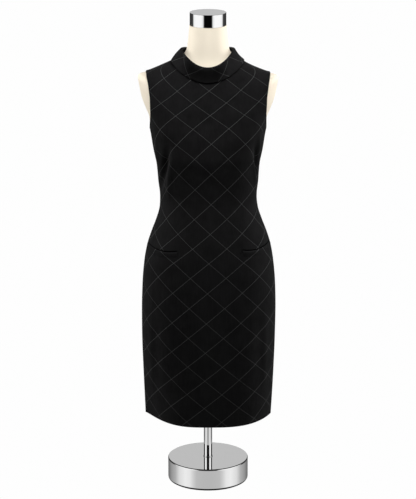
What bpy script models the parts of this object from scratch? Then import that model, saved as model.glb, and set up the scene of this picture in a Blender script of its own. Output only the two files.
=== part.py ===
"""A sleeveless sheath dress on a limbless dress form with a round chrome stand.

Units are metres, +Z is up and the front faces -Y. The origin is the centre of the base's
underside. The wearer's left is +X.

The dress hangs in rings. A ring is a closed line round the cloth's outer face: level below the
underarm, and above it riding up over the shoulders. Each panel is a strip of those rings.
"""

import math
from typing import NamedTuple

import bmesh
import bpy
import numpy as np
from mathutils import Matrix, Vector

GAP = 0.0003  # between pieces that touch
CLOTH = 0.0016  # wall of the dress
COLLAR_CLOTH = 0.0018  # wall of the doubled collar
WELT_LIFT = 0.0006  # air between a welt and the panel it lies on
SAMPLES = 361  # fine steps along a ring, from which the even ones are read


class Ring(NamedTuple):
    """One ring of the cloth's outer face: its heights and reach at the side, front and back."""

    side_z: float
    half_width: float
    front_z: float
    front_depth: float
    back_z: float
    back_depth: float
    flat: float  # above 2 the front and back are flatter than an ellipse
    right_pinch: float  # below 2 that side is more pointed than an ellipse
    left_pinch: float
    left_drop: float  # how much lower the left side hangs than the right
    lean: float  # how far both sides stand towards the left
    ease: float  # air between the cloth and the form


RINGS = (
    Ring(0.1875, 0.1711, 0.1848, 0.1205, 0.1860, 0.1100, 3.20, 0.80, 1.17, 0.0015, 0.0006, 0.0060),  # hem
    Ring(0.3000, 0.1762, 0.3000, 0.1205, 0.3000, 0.1170, 2.50, 1.25, 1.60, 0, 0.0010, 0.0060),
    Ring(0.4200, 0.1798, 0.4200, 0.1225, 0.4200, 0.1250, 2.35, 1.60, 1.70, 0, 0.0014, 0.0050),
    Ring(0.4850, 0.1803, 0.4850, 0.1240, 0.4850, 0.1295, 2.25, 1.75, 1.75, 0, 0.0019, 0.0040),  # hip
    Ring(0.5600, 0.1782, 0.5600, 0.1240, 0.5600, 0.1330, 2.20, 1.90, 1.90, 0, 0.0022, 0.0030),
    Ring(0.6200, 0.1729, 0.6200, 0.1215, 0.6200, 0.1290, 2.20, 1.95, 1.95, 0, 0.0022, 0.0030),
    Ring(0.6640, 0.1651, 0.6640, 0.1180, 0.6640, 0.1215, 2.15, 1.95, 1.95, 0, 0.0025, 0.0030),  # pockets
    Ring(0.7000, 0.1540, 0.7000, 0.1130, 0.7000, 0.1115, 2.10, 1.95, 1.95, 0, 0.0028, 0.0040),
    Ring(0.7350, 0.1407, 0.7350, 0.1060, 0.7350, 0.1000, 2.10, 2.00, 2.00, 0, 0.0027, 0.0050),
    Ring(0.7700, 0.1307, 0.7700, 0.1010, 0.7700, 0.0915, 2.10, 2.00, 2.00, 0, 0.0019, 0.0060),
    Ring(0.7970, 0.1286, 0.7970, 0.0995, 0.7970, 0.0885, 2.10, 2.00, 2.00, 0, 0.0010, 0.0060),  # waist
    Ring(0.8400, 0.1329, 0.8400, 0.1045, 0.8400, 0.0900, 2.15, 2.00, 2.00, 0, 0.0009, 0.0060),
    Ring(0.8840, 0.1361, 0.8840, 0.1165, 0.8840, 0.0955, 2.25, 2.05, 2.05, 0, 0.0003, 0.0050),
    Ring(0.9280, 0.1446, 0.9260, 0.1280, 0.9270, 0.1030, 2.40, 2.15, 2.15, 0, 0.0001, 0.0030),  # bust
    Ring(0.9850, 0.1538, 0.9750, 0.1256, 0.9760, 0.1090, 2.85, 2.35, 2.35, 0, 0, 0.0020),  # underarm
    Ring(0.9945, 0.1562, 0.9832, 0.1242, 0.9845, 0.1098, 2.93, 2.40, 2.40, 0.0003, 0, 0.0020),
    Ring(1.0145, 0.1578, 0.9990, 0.1211, 1.0015, 0.1109, 3.05, 2.50, 2.50, 0.0010, 0, 0.0020),
    Ring(1.0400, 0.1676, 1.0165, 0.1173, 1.0235, 0.1115, 3.00, 2.35, 2.35, 0.0020, 0, 0.0020),
    Ring(1.0700, 0.1786, 1.0360, 0.1130, 1.0480, 0.1110, 2.75, 2.20, 2.20, 0.0030, 0, 0.0020),
    Ring(1.1050, 0.1856, 1.0580, 0.1075, 1.0750, 0.1080, 2.45, 2.10, 2.10, 0.0035, 0, 0.0020),
    Ring(1.1230, 0.1886, 1.0715, 0.1040, 1.0920, 0.1055, 2.20, 2.00, 2.00, 0.0035, 0, 0.0020),  # cap
    Ring(1.1318, 0.1790, 1.0850, 0.1005, 1.1040, 0.1030, 2.10, 2.00, 2.00, 0.0035, 0, 0.0020),
    Ring(1.1345, 0.1634, 1.0955, 0.0975, 1.1140, 0.1000, 2.05, 2.00, 2.00, 0.0035, 0, 0.0020),  # tip
    Ring(1.1432, 0.1400, 1.1070, 0.0945, 1.1270, 0.0960, 2.05, 2.00, 2.00, 0.0042, 0, 0.0020),
    Ring(1.1535, 0.1165, 1.1180, 0.0915, 1.1390, 0.0915, 2.00, 2.00, 2.00, 0.0047, 0, 0.0020),
    Ring(1.1620, 0.0973, 1.1280, 0.0885, 1.1500, 0.0860, 2.00, 2.00, 2.00, 0.0030, 0, 0.0020),
    Ring(1.1675, 0.0850, 1.1350, 0.0860, 1.1580, 0.0810, 2.00, 2.00, 2.00, 0.0015, 0, 0.0012),  # neck
    Ring(1.1780, 0.0710, 1.1500, 0.0740, 1.1720, 0.0710, 2.00, 2.00, 2.00, 0, 0, 0.0012),
    Ring(1.1920, 0.0594, 1.1740, 0.0615, 1.1900, 0.0600, 2.00, 2.00, 2.00, 0, 0, 0.0012),
    Ring(1.2220, 0.0548, 1.2140, 0.0570, 1.2200, 0.0560, 2.00, 2.00, 2.00, 0, 0, 0.0012),
    Ring(1.2570, 0.0513, 1.2570, 0.0508, 1.2570, 0.0508, 2.00, 2.00, 2.00, 0, 0, 0.0012),
)
UNDERARM, SHOULDER_TIP, NECKLINE = 14, 22, 26  # places in RINGS
RISE = 2.0  # how sharply a ring climbs from its front to its side


class Armhole(NamedTuple):
    """Half the width between the armholes' edges at one height, seen from the front."""

    z: float
    half_width: float
    lean: float  # how much wider the left one is and narrower the right


ARMHOLE = (
    Armhole(0.9850, 0.1538, 0),
    Armhole(1.0360, 0.1518, 0.0010),
    Armhole(1.0790, 0.1531, 0.0013),
    Armhole(1.1110, 0.1574, 0.0013),
    Armhole(1.1345, 0.1632, 0.0006),
)


class Fold(NamedTuple):
    """A soft upright trough in the front, the same on both sides."""

    x: float
    z_low: float
    z_high: float
    half_width: float
    depth: float


FOLDS = (
    Fold(0.104, 0.790, 0.935, 0.018, 0.0035),  # under the bust
    Fold(0.120, 0.250, 0.560, 0.022, 0.0020),  # where the skirt's front turns to the side
)

FRONT_COLUMNS = 25
BACK_COLUMNS = 12
SKIRT_ROWS, BODICE_ROWS, ARMHOLE_ROWS, SHOULDER_ROWS = 7, 12, 11, 5
SLIT_TOP_Z = 0.350
SLIT_OPENING = 0.0036


class PocketMouth(NamedTuple):
    """The edge of one slit pocket in the front."""

    side: int  # +1 on the wearer's left
    inner_x: float
    inner_z: float
    rise: float  # how much higher its outer end is
    sag: float  # how much its middle hangs below a straight line


LEFT_MOUTH = PocketMouth(1, 0.0905, 0.6735, 0.0020, 0.0055)
RIGHT_MOUTH = PocketMouth(-1, 0.0815, 0.6713, 0.0002, 0.0055)
MOUTH_OUTER_X = 0.160
WELT_HEIGHT = 0.015
WELT_OUTER_TURN = 87.0  # degrees from the centre front, just short of the side seam
WELT_COLUMNS = 11


class CollarLine(NamedTuple):
    """A line round the collar: its radius and height at the side, front and back."""

    lean: float  # how much further it reaches on the left than on the right, halved
    side_radius: float
    side_z: float
    front_radius: float
    front_z: float
    back_radius: float
    back_z: float


COLLAR_SEAM = CollarLine(0, 0.0838, 1.1686, 0.0850, 1.1362, 0.0798, 1.1592)
COLLAR_CREST = CollarLine(-0.0010, 0.0690, 1.1955, 0.0730, 1.1592, 0.0700, 1.1835)
COLLAR_EDGE = CollarLine(-0.0008, 0.0962, 1.1644, 0.0990, 1.1235, 0.0935, 1.1500)
ROLL_RADIUS = 0.0032  # of the fold, at the middle of its wall
ROLL_STEPS = 5
COLLAR_COLUMNS = 37
COLLAR_SPLIT = 0.0003  # half the gap at the centre back

FORM_BOTTOM_Z = 0.500
TORSO_RINGS, SHOULDER_RINGS, NECK_RINGS = 10, 9, 12
FORM_HALF_COLUMNS = 18
NECK_TOP_Z = 1.2570

POLE_RADIUS = 0.0113
POLE_SOCKET_DEPTH = 0.040
BASE_RADIUS = 0.109
BASE_HEIGHT = 0.0612
BASE_BEVEL = 0.0025
RING_RADIUS = 0.0125
RING_HEIGHT = 0.0022
CAP_RADIUS = 0.0478
CAP_HEIGHT = 0.0340
CAP_BEVEL = 0.0015
TURNED_STEPS = 56

SLIDER_Z = 1.1405
SLIDER_STANDOFF = 0.0009
SLIDER_LENGTH, SLIDER_WIDTH, SLIDER_THICK = 0.0090, 0.0050, 0.0012
BRIDGE_LENGTH, BRIDGE_HEIGHT, BRIDGE_WIDTH, BRIDGE_THICK = 0.0072, 0.0036, 0.0013, 0.0009
PULL_LENGTH, PULL_WIDTH, PULL_THICK = 0.0190, 0.0046, 0.0010
EYE_WIDTH, EYE_LENGTH = 0.0023, 0.0046
PIVOT_HEIGHT = 0.0025  # of the pull's top bar above the slider's underside
PULL_LEAN = math.radians(-7)  # from the slider's plane towards the cloth, where the pull rests

CLOTH_COLOUR = (0.012, 0.012, 0.0125, 1.0)
JERSEY_COLOUR = (0.830, 0.740, 0.590, 1.0)
CHROME_COLOUR = (0.780, 0.780, 0.790, 1.0)
ZIP_COLOUR = (0.015, 0.015, 0.016, 1.0)


def material(name, colour, roughness, metallic=0.0):
    """A Principled material."""
    made = bpy.data.materials.new(name)
    made.use_nodes = True
    shader = made.node_tree.nodes["Principled BSDF"]
    shader.inputs["Base Color"].default_value = colour
    shader.inputs["Roughness"].default_value = roughness
    shader.inputs["Metallic"].default_value = metallic
    made.diffuse_color = colour
    return made


def smooth_curve(at, knots, values):
    """Reads a table along a cubic that never swings past its rows."""
    step = np.diff(knots)
    rise = np.diff(values) / step
    slope = np.zeros(len(values))
    slope[0], slope[-1] = rise[0], rise[-1]
    before, after = rise[:-1], rise[1:]
    weight_before, weight_after = 2 * step[1:] + step[:-1], step[1:] + 2 * step[:-1]
    same_way = before * after > 0
    blend = (weight_before + weight_after)[same_way] / (
        weight_before[same_way] / before[same_way] + weight_after[same_way] / after[same_way]
    )
    slope[1:-1][same_way] = blend
    place = np.clip(np.searchsorted(knots, at) - 1, 0, len(step) - 1)
    width = step[place]
    t = (at - knots[place]) / width
    return (
        values[place] * (1 + 2 * t) * (1 - t) ** 2
        + values[place + 1] * t**2 * (3 - 2 * t)
        + slope[place] * width * t * (1 - t) ** 2
        + slope[place + 1] * width * t**2 * (t - 1)
    )


def side_ways():
    """How far each ring is from the hem, walked up the side and over the shoulder."""
    sides = np.array([(ring.half_width, ring.side_z) for ring in RINGS])
    return np.concatenate([[0.0], np.cumsum(np.linalg.norm(np.diff(sides, axis=0), axis=1))])


WAYS = side_ways()


def ring_at(way):
    """The ring at a distance from the hem."""
    return Ring(*(float(smooth_curve(way, WAYS, np.array(column))) for column in zip(*RINGS)))


def way_at_height(z):
    """The distance from the hem of the level ring at a height below the underarm."""
    ways = np.linspace(0.0, WAYS[UNDERARM], SAMPLES)
    heights = smooth_curve(ways, WAYS, np.array([ring.side_z for ring in RINGS]))
    return float(np.interp(z, heights, ways))


def ring_points(ring, turns):
    """Points of a ring, at turns in degrees: 0 is the centre front, 90 the left, 180 the back."""
    across = np.sin(np.radians(turns))
    in_front = np.cos(np.radians(turns)) >= 0
    share = np.abs(across)
    depth = np.where(in_front, -ring.front_depth, ring.back_depth)
    middle_z = np.where(in_front, ring.front_z, ring.back_z)
    on_left = across > 0
    pinch = np.where(on_left, ring.left_pinch, ring.right_pinch)
    reach = np.clip(1 - share**ring.flat, 0, 1) ** (1 / pinch)
    side_z = ring.side_z - ring.left_drop * on_left
    z = middle_z + (side_z - middle_z) * share**RISE
    x = ring.half_width * across + ring.lean * share**2
    return np.stack([x, depth * reach, z], axis=-1)


def even_points(ring, first_turn, last_turn, count):
    """Points evenly spaced along a ring between two turns."""
    turns = np.linspace(first_turn, last_turn, SAMPLES)
    line = ring_points(ring, turns)
    walked = np.concatenate([[0.0], np.cumsum(np.linalg.norm(np.diff(line, axis=0), axis=1))])
    even = np.interp(np.linspace(0.0, walked[-1], count), walked, turns)
    return ring_points(ring, even)


def seam_turn(way, middle_turn, side):
    """The turn at which a ring meets one side's armhole edge, or 90 where it meets a seam."""
    if not WAYS[UNDERARM] < way < WAYS[SHOULDER_TIP]:
        return side * 90.0
    turns = side * np.linspace(middle_turn, 90.0, SAMPLES)
    line = ring_points(ring_at(way), turns)
    heights = [row.z for row in ARMHOLE]
    widths = [row.half_width + side * row.lean for row in ARMHOLE]
    beyond = np.abs(line[:, 0]) - np.interp(line[:, 2], heights, widths)
    if beyond.max() <= 0:
        return side * 90.0
    first = int(np.argmax(beyond > 0))
    part = beyond[first - 1] / (beyond[first - 1] - beyond[first])
    return float(turns[first - 1] + part * (turns[first] - turns[first - 1]))


def panel_ways():
    """The rows of every panel, closer together at the underarm and the shoulder tip."""
    hip = way_at_height(0.5)
    bend = (1 - np.cos(np.linspace(0, math.pi, ARMHOLE_ROWS + 1))) / 2
    armhole = WAYS[UNDERARM] + bend * (WAYS[SHOULDER_TIP] - WAYS[UNDERARM])
    return np.concatenate(
        [
            np.linspace(0.0, hip, SKIRT_ROWS, endpoint=False),
            np.linspace(hip, WAYS[UNDERARM], BODICE_ROWS, endpoint=False),
            armhole,
            np.linspace(WAYS[SHOULDER_TIP], WAYS[NECKLINE], SHOULDER_ROWS + 1)[1:],
        ]
    )


def fold_depths(points):
    """How far the front's folds push each point in."""
    depth = np.zeros(points.shape[:-1])
    for fold in FOLDS:
        along = (points[..., 2] - fold.z_low) / (fold.z_high - fold.z_low)
        length = np.sin(math.pi * np.clip(along, 0, 1)) ** 2
        across = (np.abs(points[..., 0]) - fold.x) / fold.half_width
        depth += fold.depth * length * np.exp(-(across**2))
    return depth


def outward(points):
    """The outward normals of a grid whose rows go up and whose columns go right, seen outside."""
    normals = np.cross(np.gradient(points, axis=1), np.gradient(points, axis=0))
    return normals / np.linalg.norm(normals, axis=-1, keepdims=True)


def front_face():
    """The front panel's outer face."""
    rows = []
    for way in panel_ways():
        right, left = (seam_turn(way, 0.0, side) for side in (-1, 1))
        rows.append(even_points(ring_at(way), right, left, FRONT_COLUMNS))
    face = np.array(rows)
    face[..., 1] += fold_depths(face)
    face[..., 1] = np.minimum(face[..., 1], -GAP / 2)
    return face


def back_face(side):
    """A back panel's outer face; side is +1 on the wearer's left."""
    rows = []
    for way in panel_ways():
        ring = ring_at(way)
        row = even_points(ring, seam_turn(way, 180.0, side), side * 180.0, BACK_COLUMNS)
        opened = np.clip((SLIT_TOP_Z - ring.side_z) / (SLIT_TOP_Z - RINGS[0].side_z), 0, 1)
        row[-1, 0] = side * (GAP + SLIT_OPENING * opened) / 2
        rows.append(row[::side])
    face = np.array(rows)
    face[..., 1] = np.maximum(face[..., 1], GAP / 2)
    return face


def into_wall(face):
    """The way from each outer point to its inner one, mitred where two panels meet at a side."""
    normals = outward(face)
    into = -normals
    for column in (0, -1):
        at_seam = np.abs(face[:, column, 1]) < 2 * GAP
        normal = normals[at_seam, column]
        level = normal * (1, 0, 1)
        into[at_seam, column] = -level / (1 - normal[:, 1:2] ** 2)
    return into


def body_from_layers(name, outer, inner, finish):
    """One closed body between two grids of points."""
    shape = bmesh.new()
    rows, columns = outer.shape[:2]
    layers = [
        [[shape.verts.new(point) for point in row] for row in layer] for layer in (outer, inner)
    ]
    out, back = layers
    for i in range(rows - 1):
        for j in range(columns - 1):
            shape.faces.new((out[i][j], out[i][j + 1], out[i + 1][j + 1], out[i + 1][j]))
            shape.faces.new((back[i][j], back[i + 1][j], back[i + 1][j + 1], back[i][j + 1]))
    border = [(0, j) for j in range(columns)]
    border += [(i, columns - 1) for i in range(1, rows)]
    border += [(rows - 1, j) for j in range(columns - 2, -1, -1)]
    border += [(i, 0) for i in range(rows - 2, 0, -1)]
    for (i, j), (k, m) in zip(border, border[1:] + border[:1]):
        shape.faces.new((out[i][j], back[i][j], back[k][m], out[k][m]))
    return object_from(name, shape, finish)


def object_from(name, shape, finish):
    """A mesh object in the part's collection."""
    mesh = bpy.data.meshes.new(name)
    shape.to_mesh(mesh)
    shape.free()
    mesh.materials.append(finish)
    mesh.shade_smooth()
    mesh.set_sharp_from_angle(angle=math.radians(35))
    made = bpy.data.objects.new(name, mesh)
    PART.objects.link(made)
    return made


def mouth_heights(mouth, x):
    """A pocket mouth's heights at distances from the centre front."""
    along = np.clip((x - mouth.inner_x) / (MOUTH_OUTER_X - mouth.inner_x), 0, 1)
    return mouth.inner_z + mouth.rise * along - mouth.sag * np.sin(math.pi * along)


def build_welt(name, mouth, finish):
    """A welt on the front, from the pocket's mouth down."""
    half_width = ring_at(way_at_height(mouth.inner_z - WELT_HEIGHT / 2)).half_width
    inner_turn = math.degrees(math.asin(mouth.inner_x / half_width))
    turns = mouth.side * np.linspace(inner_turn, WELT_OUTER_TURN, WELT_COLUMNS)[:: mouth.side]
    tops = mouth_heights(mouth, half_width * np.abs(np.sin(np.radians(turns))))
    rows = []
    for drop in (1.0, 0.5, 0.0):
        rings = [ring_at(way_at_height(top - drop * WELT_HEIGHT)) for top in tops]
        rows.append([ring_points(ring, turn) for ring, turn in zip(rings, turns)])
    on_panel = np.array(rows)
    normals = outward(on_panel)
    inner = on_panel + normals * WELT_LIFT
    return body_from_layers(name, inner + normals * CLOTH, inner, finish)


def collar_points(line, turns):
    """(radius, height) of a line round the collar, at turns in degrees from the centre front."""
    side, ahead = np.sin(np.radians(turns)), np.cos(np.radians(turns))
    in_front = ahead >= 0
    middle_radius = np.where(in_front, line.front_radius, line.back_radius)
    middle_z = np.where(in_front, line.front_z, line.back_z)
    side_radius = line.side_radius + line.lean * np.sign(side)
    radius = 1 / np.hypot(side / side_radius, ahead / middle_radius)
    share = radius * np.abs(side) / side_radius
    return np.stack([radius, middle_z + (line.side_z - middle_z) * share**RISE], axis=-1)


def collar_section(seam, crest, edge):
    """The collar's cut edge as a closed outline of (radius, height): stand, roll and fall."""
    centre = crest - (0.0, COLLAR_CLOTH / 2 + ROLL_RADIUS)
    edge = edge - (COLLAR_CLOTH / 2, 0.0)
    seam_lean = math.atan2(seam[0] - centre[0], centre[1] - seam[1])
    edge_lean = math.atan2(edge[0] - centre[0], centre[1] - edge[1])
    angles = np.linspace(math.pi + seam_lean, edge_lean, ROLL_STEPS + 1)
    roll = centre + ROLL_RADIUS * np.stack([np.cos(angles), np.sin(angles)], axis=-1)
    stand = seam + (roll[0] - seam) * np.array([[0.0], [0.5]])
    fall = roll[-1] + (edge - roll[-1]) * np.array([[0.33], [0.67], [1.0]])
    middle = np.concatenate([stand, roll, fall])
    along = np.gradient(middle, axis=0)
    along /= np.linalg.norm(along, axis=1, keepdims=True)
    normal = np.stack([-along[:, 1], along[:, 0]], axis=-1) * COLLAR_CLOTH / 2
    return np.concatenate([middle + normal, (middle - normal)[::-1]])


def build_collar(finish):
    """The folded collar, swept round the neck from one side of its back split to the other."""
    half_split = math.degrees(COLLAR_SPLIT / COLLAR_CREST.back_radius)
    turns = np.linspace(-180 + half_split, 180 - half_split, COLLAR_COLUMNS)
    lines = [collar_points(line, turns) for line in (COLLAR_SEAM, COLLAR_CREST, COLLAR_EDGE)]
    shape = bmesh.new()
    loops = []
    for turn, seam, crest, edge in zip(np.radians(turns), *lines):
        outline = collar_section(seam, crest, edge)
        loops.append(
            [
                shape.verts.new((radius * math.sin(turn), -radius * math.cos(turn), z))
                for radius, z in outline
            ]
        )
    for loop, following in zip(loops, loops[1:]):
        for k in range(len(loop)):
            m = (k + 1) % len(loop)
            shape.faces.new((loop[k], following[k], following[m], loop[m]))
    for loop in (loops[0], loops[-1]):
        half = len(loop) // 2
        for k in range(half - 1):
            shape.faces.new((loop[k], loop[k + 1], loop[-k - 2], loop[-k - 1]))
    bmesh.ops.recalc_face_normals(shape, faces=shape.faces[:])
    return object_from("collar", shape, finish)


def form_loops():
    """The form's rings from the bottom to the neck's top: the cloth's rings moved in."""
    stops = (way_at_height(FORM_BOTTOM_Z), WAYS[UNDERARM], WAYS[SHOULDER_TIP])
    ways = np.concatenate(
        [
            np.linspace(stops[0], stops[1], TORSO_RINGS, endpoint=False),
            np.linspace(stops[1], stops[2], SHOULDER_RINGS, endpoint=False),
            np.linspace(stops[2], WAYS[-1], NECK_RINGS),
        ]
    )
    rings = [ring_at(way) for way in ways]
    face = []
    for ring in rings:
        front = even_points(ring, -90.0, 90.0, FORM_HALF_COLUMNS + 1)
        back = even_points(ring, 90.0, 270.0, FORM_HALF_COLUMNS + 1)
        face.append(np.concatenate([front[:-1], back[:-1]]))
    face = np.array(face)
    wrapped = np.concatenate([face[:, -1:], face, face[:, :1]], axis=1)
    normals = outward(wrapped)[:, 1:-1]
    normals[0] *= (1, 1, 0)
    normals[-1] *= (1, 1, 0)
    normals /= np.linalg.norm(normals, axis=-1, keepdims=True)
    inset = np.array([CLOTH + ring.ease for ring in rings])
    loops = face - normals * inset[:, None, None]
    loops[-1, :, 2] = NECK_TOP_Z
    return loops


def build_form(finish):
    """The dress form: one closed body, with a socket for the pole in its flat bottom."""
    loops = form_loops()
    bottom = loops[0]
    turns = np.arctan2(bottom[:, 0], -bottom[:, 1])
    socket = (POLE_RADIUS + GAP) * np.stack([np.sin(turns), -np.cos(turns)], axis=-1)
    mouth = np.column_stack([socket, np.full(len(socket), FORM_BOTTOM_Z)])
    ceiling = mouth + (0, 0, POLE_SOCKET_DEPTH)
    shape = bmesh.new()
    rings = [[shape.verts.new(p) for p in loop] for loop in (ceiling, mouth, *loops)]
    for low, high in zip(rings, rings[1:]):
        for k in range(len(low)):
            m = (k + 1) % len(low)
            shape.faces.new((low[k], low[m], high[m], high[k]))
    shape.faces.new(rings[-1])
    shape.faces.new(rings[0][::-1])
    return object_from("form_body", shape, finish)


def turned(name, profile, finish):
    """A profile of (radius, height), top to bottom, turned about Z."""
    shape = bmesh.new()
    points = [shape.verts.new((radius, 0.0, z)) for radius, z in profile]
    for one, following in zip(points, points[1:]):
        shape.edges.new((one, following))
    made = object_from(name, shape, finish)
    screw = made.modifiers.new("turn", "SCREW")
    screw.steps = screw.render_steps = TURNED_STEPS
    screw.use_merge_vertices = True
    screw.merge_threshold = 0.00001
    screw.use_smooth_shade = True
    return made


def build_stand(chrome):
    """Base, pole and the thin ring where they meet."""
    socket_radius = POLE_RADIUS + GAP
    socket_floor = BASE_HEIGHT - POLE_SOCKET_DEPTH
    turned(
        "base",
        [
            (0.0, socket_floor),
            (socket_radius, socket_floor),
            (socket_radius, BASE_HEIGHT),
            (BASE_RADIUS - BASE_BEVEL, BASE_HEIGHT),
            (BASE_RADIUS - 0.3 * BASE_BEVEL, BASE_HEIGHT - 0.3 * BASE_BEVEL),
            (BASE_RADIUS, BASE_HEIGHT - BASE_BEVEL),
            (BASE_RADIUS, BASE_BEVEL),
            (BASE_RADIUS - BASE_BEVEL, 0.0),
            (0.0, 0.0),
        ],
        chrome,
    )
    pole_top = FORM_BOTTOM_Z + POLE_SOCKET_DEPTH - GAP
    pole_foot = socket_floor + GAP
    bpy.ops.mesh.primitive_cylinder_add(
        vertices=32,
        radius=POLE_RADIUS,
        depth=pole_top - pole_foot,
        location=(0, 0, (pole_top + pole_foot) / 2),
    )
    adopt("pole", chrome)
    low, high = BASE_HEIGHT + GAP, BASE_HEIGHT + GAP + RING_HEIGHT
    ring = [
        (socket_radius, high),
        (RING_RADIUS - 0.0005, high),
        (RING_RADIUS, (low + high) / 2),
        (RING_RADIUS - 0.0005, low),
        (socket_radius, low),
        (socket_radius, high),
    ]
    made = turned("pole_ring", ring[:-1], chrome)
    close_profile(made)


def close_profile(made):
    """Joins a profile's last point to its first, for a ring clear of the axis."""
    made.data.edges.add(1)
    made.data.edges[-1].vertices = (len(made.data.vertices) - 1, 0)
    made.data.update()


def adopt(name, finish):
    """Names the primitive just made and moves it to the part's collection."""
    made = bpy.context.object
    made.name = made.data.name = name
    made.data.materials.append(finish)
    made.data.shade_smooth()
    made.data.set_sharp_from_angle(angle=math.radians(35))
    for collection in list(made.users_collection):
        collection.objects.unlink(made)
    PART.objects.link(made)
    return made


def bevel(made, width, segments=2):
    """Rounds an object's sharp edges."""
    edges = made.modifiers.new("round", "BEVEL")
    edges.width = width
    edges.segments = segments
    edges.limit_method = "ANGLE"
    edges.angle_limit = math.radians(35)


def build_cap(chrome):
    """The chrome cap on the neck."""
    bpy.ops.mesh.primitive_cylinder_add(
        vertices=TURNED_STEPS,
        radius=CAP_RADIUS,
        depth=CAP_HEIGHT,
        location=(0, 0, NECK_TOP_Z + GAP + CAP_HEIGHT / 2),
    )
    bevel(adopt("neck_cap", chrome), CAP_BEVEL)


def zip_place():
    """Where the slider lies on the centre-back seam: X across, Y down the cloth, Z out of it."""
    centre = ring_columns_at_back()
    z_low = SLIDER_Z - PULL_LENGTH
    y_here, y_low = (np.interp(z, centre[:, 1], centre[:, 0]) for z in (SLIDER_Z, z_low))
    down = Vector((0, y_low - y_here, z_low - SLIDER_Z)).normalized()
    across = Vector((1, 0, 0))
    out = across.cross(down)
    place = Matrix((across, down, out)).transposed().to_4x4()
    place.translation = Vector((0, y_here, SLIDER_Z)) + out * SLIDER_STANDOFF
    return place


def ring_columns_at_back():
    """(depth, height) up the centre back, lowest first."""
    return np.array([(ring.back_depth, ring.back_z) for ring in RINGS[UNDERARM : NECKLINE + 1]])


def box(name, size, centre, finish):
    """A box in the slider's own frame."""
    bpy.ops.mesh.primitive_cube_add(size=1.0)
    made = adopt(name, finish)
    made.data.transform(Matrix.Translation(centre) @ Matrix.Diagonal((*size, 1.0)))
    return made


def cut(made, cutter, operation="DIFFERENCE"):
    """Cuts or joins with a helper, which moves to the cutters' collection."""
    step = made.modifiers.new(operation.lower(), "BOOLEAN")
    step.operation = operation
    step.object = cutter
    step.solver = "EXACT"
    PART.objects.unlink(cutter)
    CUTTERS.objects.link(cutter)
    cutter.hide_render = True
    cutter.display_type = "WIRE"


def build_zip(finish):
    """The slider's plate and bridge, and the pull that hangs from the bridge."""
    place = zip_place()
    plate = (SLIDER_WIDTH, SLIDER_LENGTH, SLIDER_THICK)
    slider = box("zip_slider", plate, (0, 0, SLIDER_THICK / 2), finish)
    middle = SLIDER_THICK + (BRIDGE_HEIGHT - SLIDER_THICK) / 2
    bridge_size = (BRIDGE_WIDTH, BRIDGE_LENGTH, BRIDGE_HEIGHT)
    bridge = box("bridge", bridge_size, (0, 0, middle), finish)
    window_size = (
        2 * BRIDGE_WIDTH,
        BRIDGE_LENGTH - 2 * BRIDGE_THICK,
        BRIDGE_HEIGHT - SLIDER_THICK / 2,
    )
    window_centre = (0, 0, middle + BRIDGE_HEIGHT / 2 - BRIDGE_THICK - window_size[2] / 2)
    window = box("bridge_window", window_size, window_centre, finish)
    cut(bridge, window)
    cut(slider, bridge, "UNION")

    pull_size = (PULL_WIDTH, PULL_LENGTH, PULL_THICK)
    pull = box("zip_pull", pull_size, (0, PULL_LENGTH / 2 - PULL_THICK / 2, 0), finish)
    eye_size = (EYE_WIDTH, EYE_LENGTH, 3 * PULL_THICK)
    eye = box("pull_eye", eye_size, (0, PULL_THICK / 2 + EYE_LENGTH / 2, 0), finish)
    cut(pull, eye)

    hang = Matrix.Rotation(PULL_LEAN, 4, "X")
    for made in (slider, bridge, window):
        made.matrix_world = place
    for made in (pull, eye):
        made.matrix_world = place @ Matrix.Translation((0, 0, PIVOT_HEIGHT)) @ hang
    for made in (slider, pull):
        bevel(made, 0.0002, segments=1)


def build():
    """Every piece."""
    cloth = material("cloth", CLOTH_COLOUR, 0.85)
    jersey = material("jersey", JERSEY_COLOUR, 0.80)
    chrome = material("chrome", CHROME_COLOUR, 0.08, metallic=1.0)
    enamel = material("zip_enamel", ZIP_COLOUR, 0.35)

    front = front_face()
    body_from_layers("dress_front", front, front + into_wall(front) * CLOTH, cloth)
    for name, side in (("dress_back_left", 1), ("dress_back_right", -1)):
        face = back_face(side)
        body_from_layers(name, face, face + into_wall(face) * CLOTH, cloth)
    build_collar(cloth)
    build_welt("pocket_welt_left", LEFT_MOUTH, cloth)
    build_welt("pocket_welt_right", RIGHT_MOUTH, cloth)
    build_zip(enamel)
    build_form(jersey)
    build_cap(chrome)
    build_stand(chrome)


for old in list(bpy.data.objects):
    bpy.data.objects.remove(old, do_unlink=True)
PART = bpy.data.collections.new("sheath_dress_on_form")
CUTTERS = bpy.data.collections.new("cutters")
for made_collection in (PART, CUTTERS):
    bpy.context.scene.collection.children.link(made_collection)
CUTTERS.hide_render = True
build()
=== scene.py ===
"""A sleeveless sheath dress in black bias windowpane, on a cream dress form with a chrome stand.

Metres, +Z up. The front faces -Y and the wearer's left is +X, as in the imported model.
"""

import logging
import math
from collections.abc import Sequence
from dataclasses import astuple, dataclass
from enum import Enum

import bmesh
import bpy
import numpy as np
from mathutils import Matrix, Vector


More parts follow.
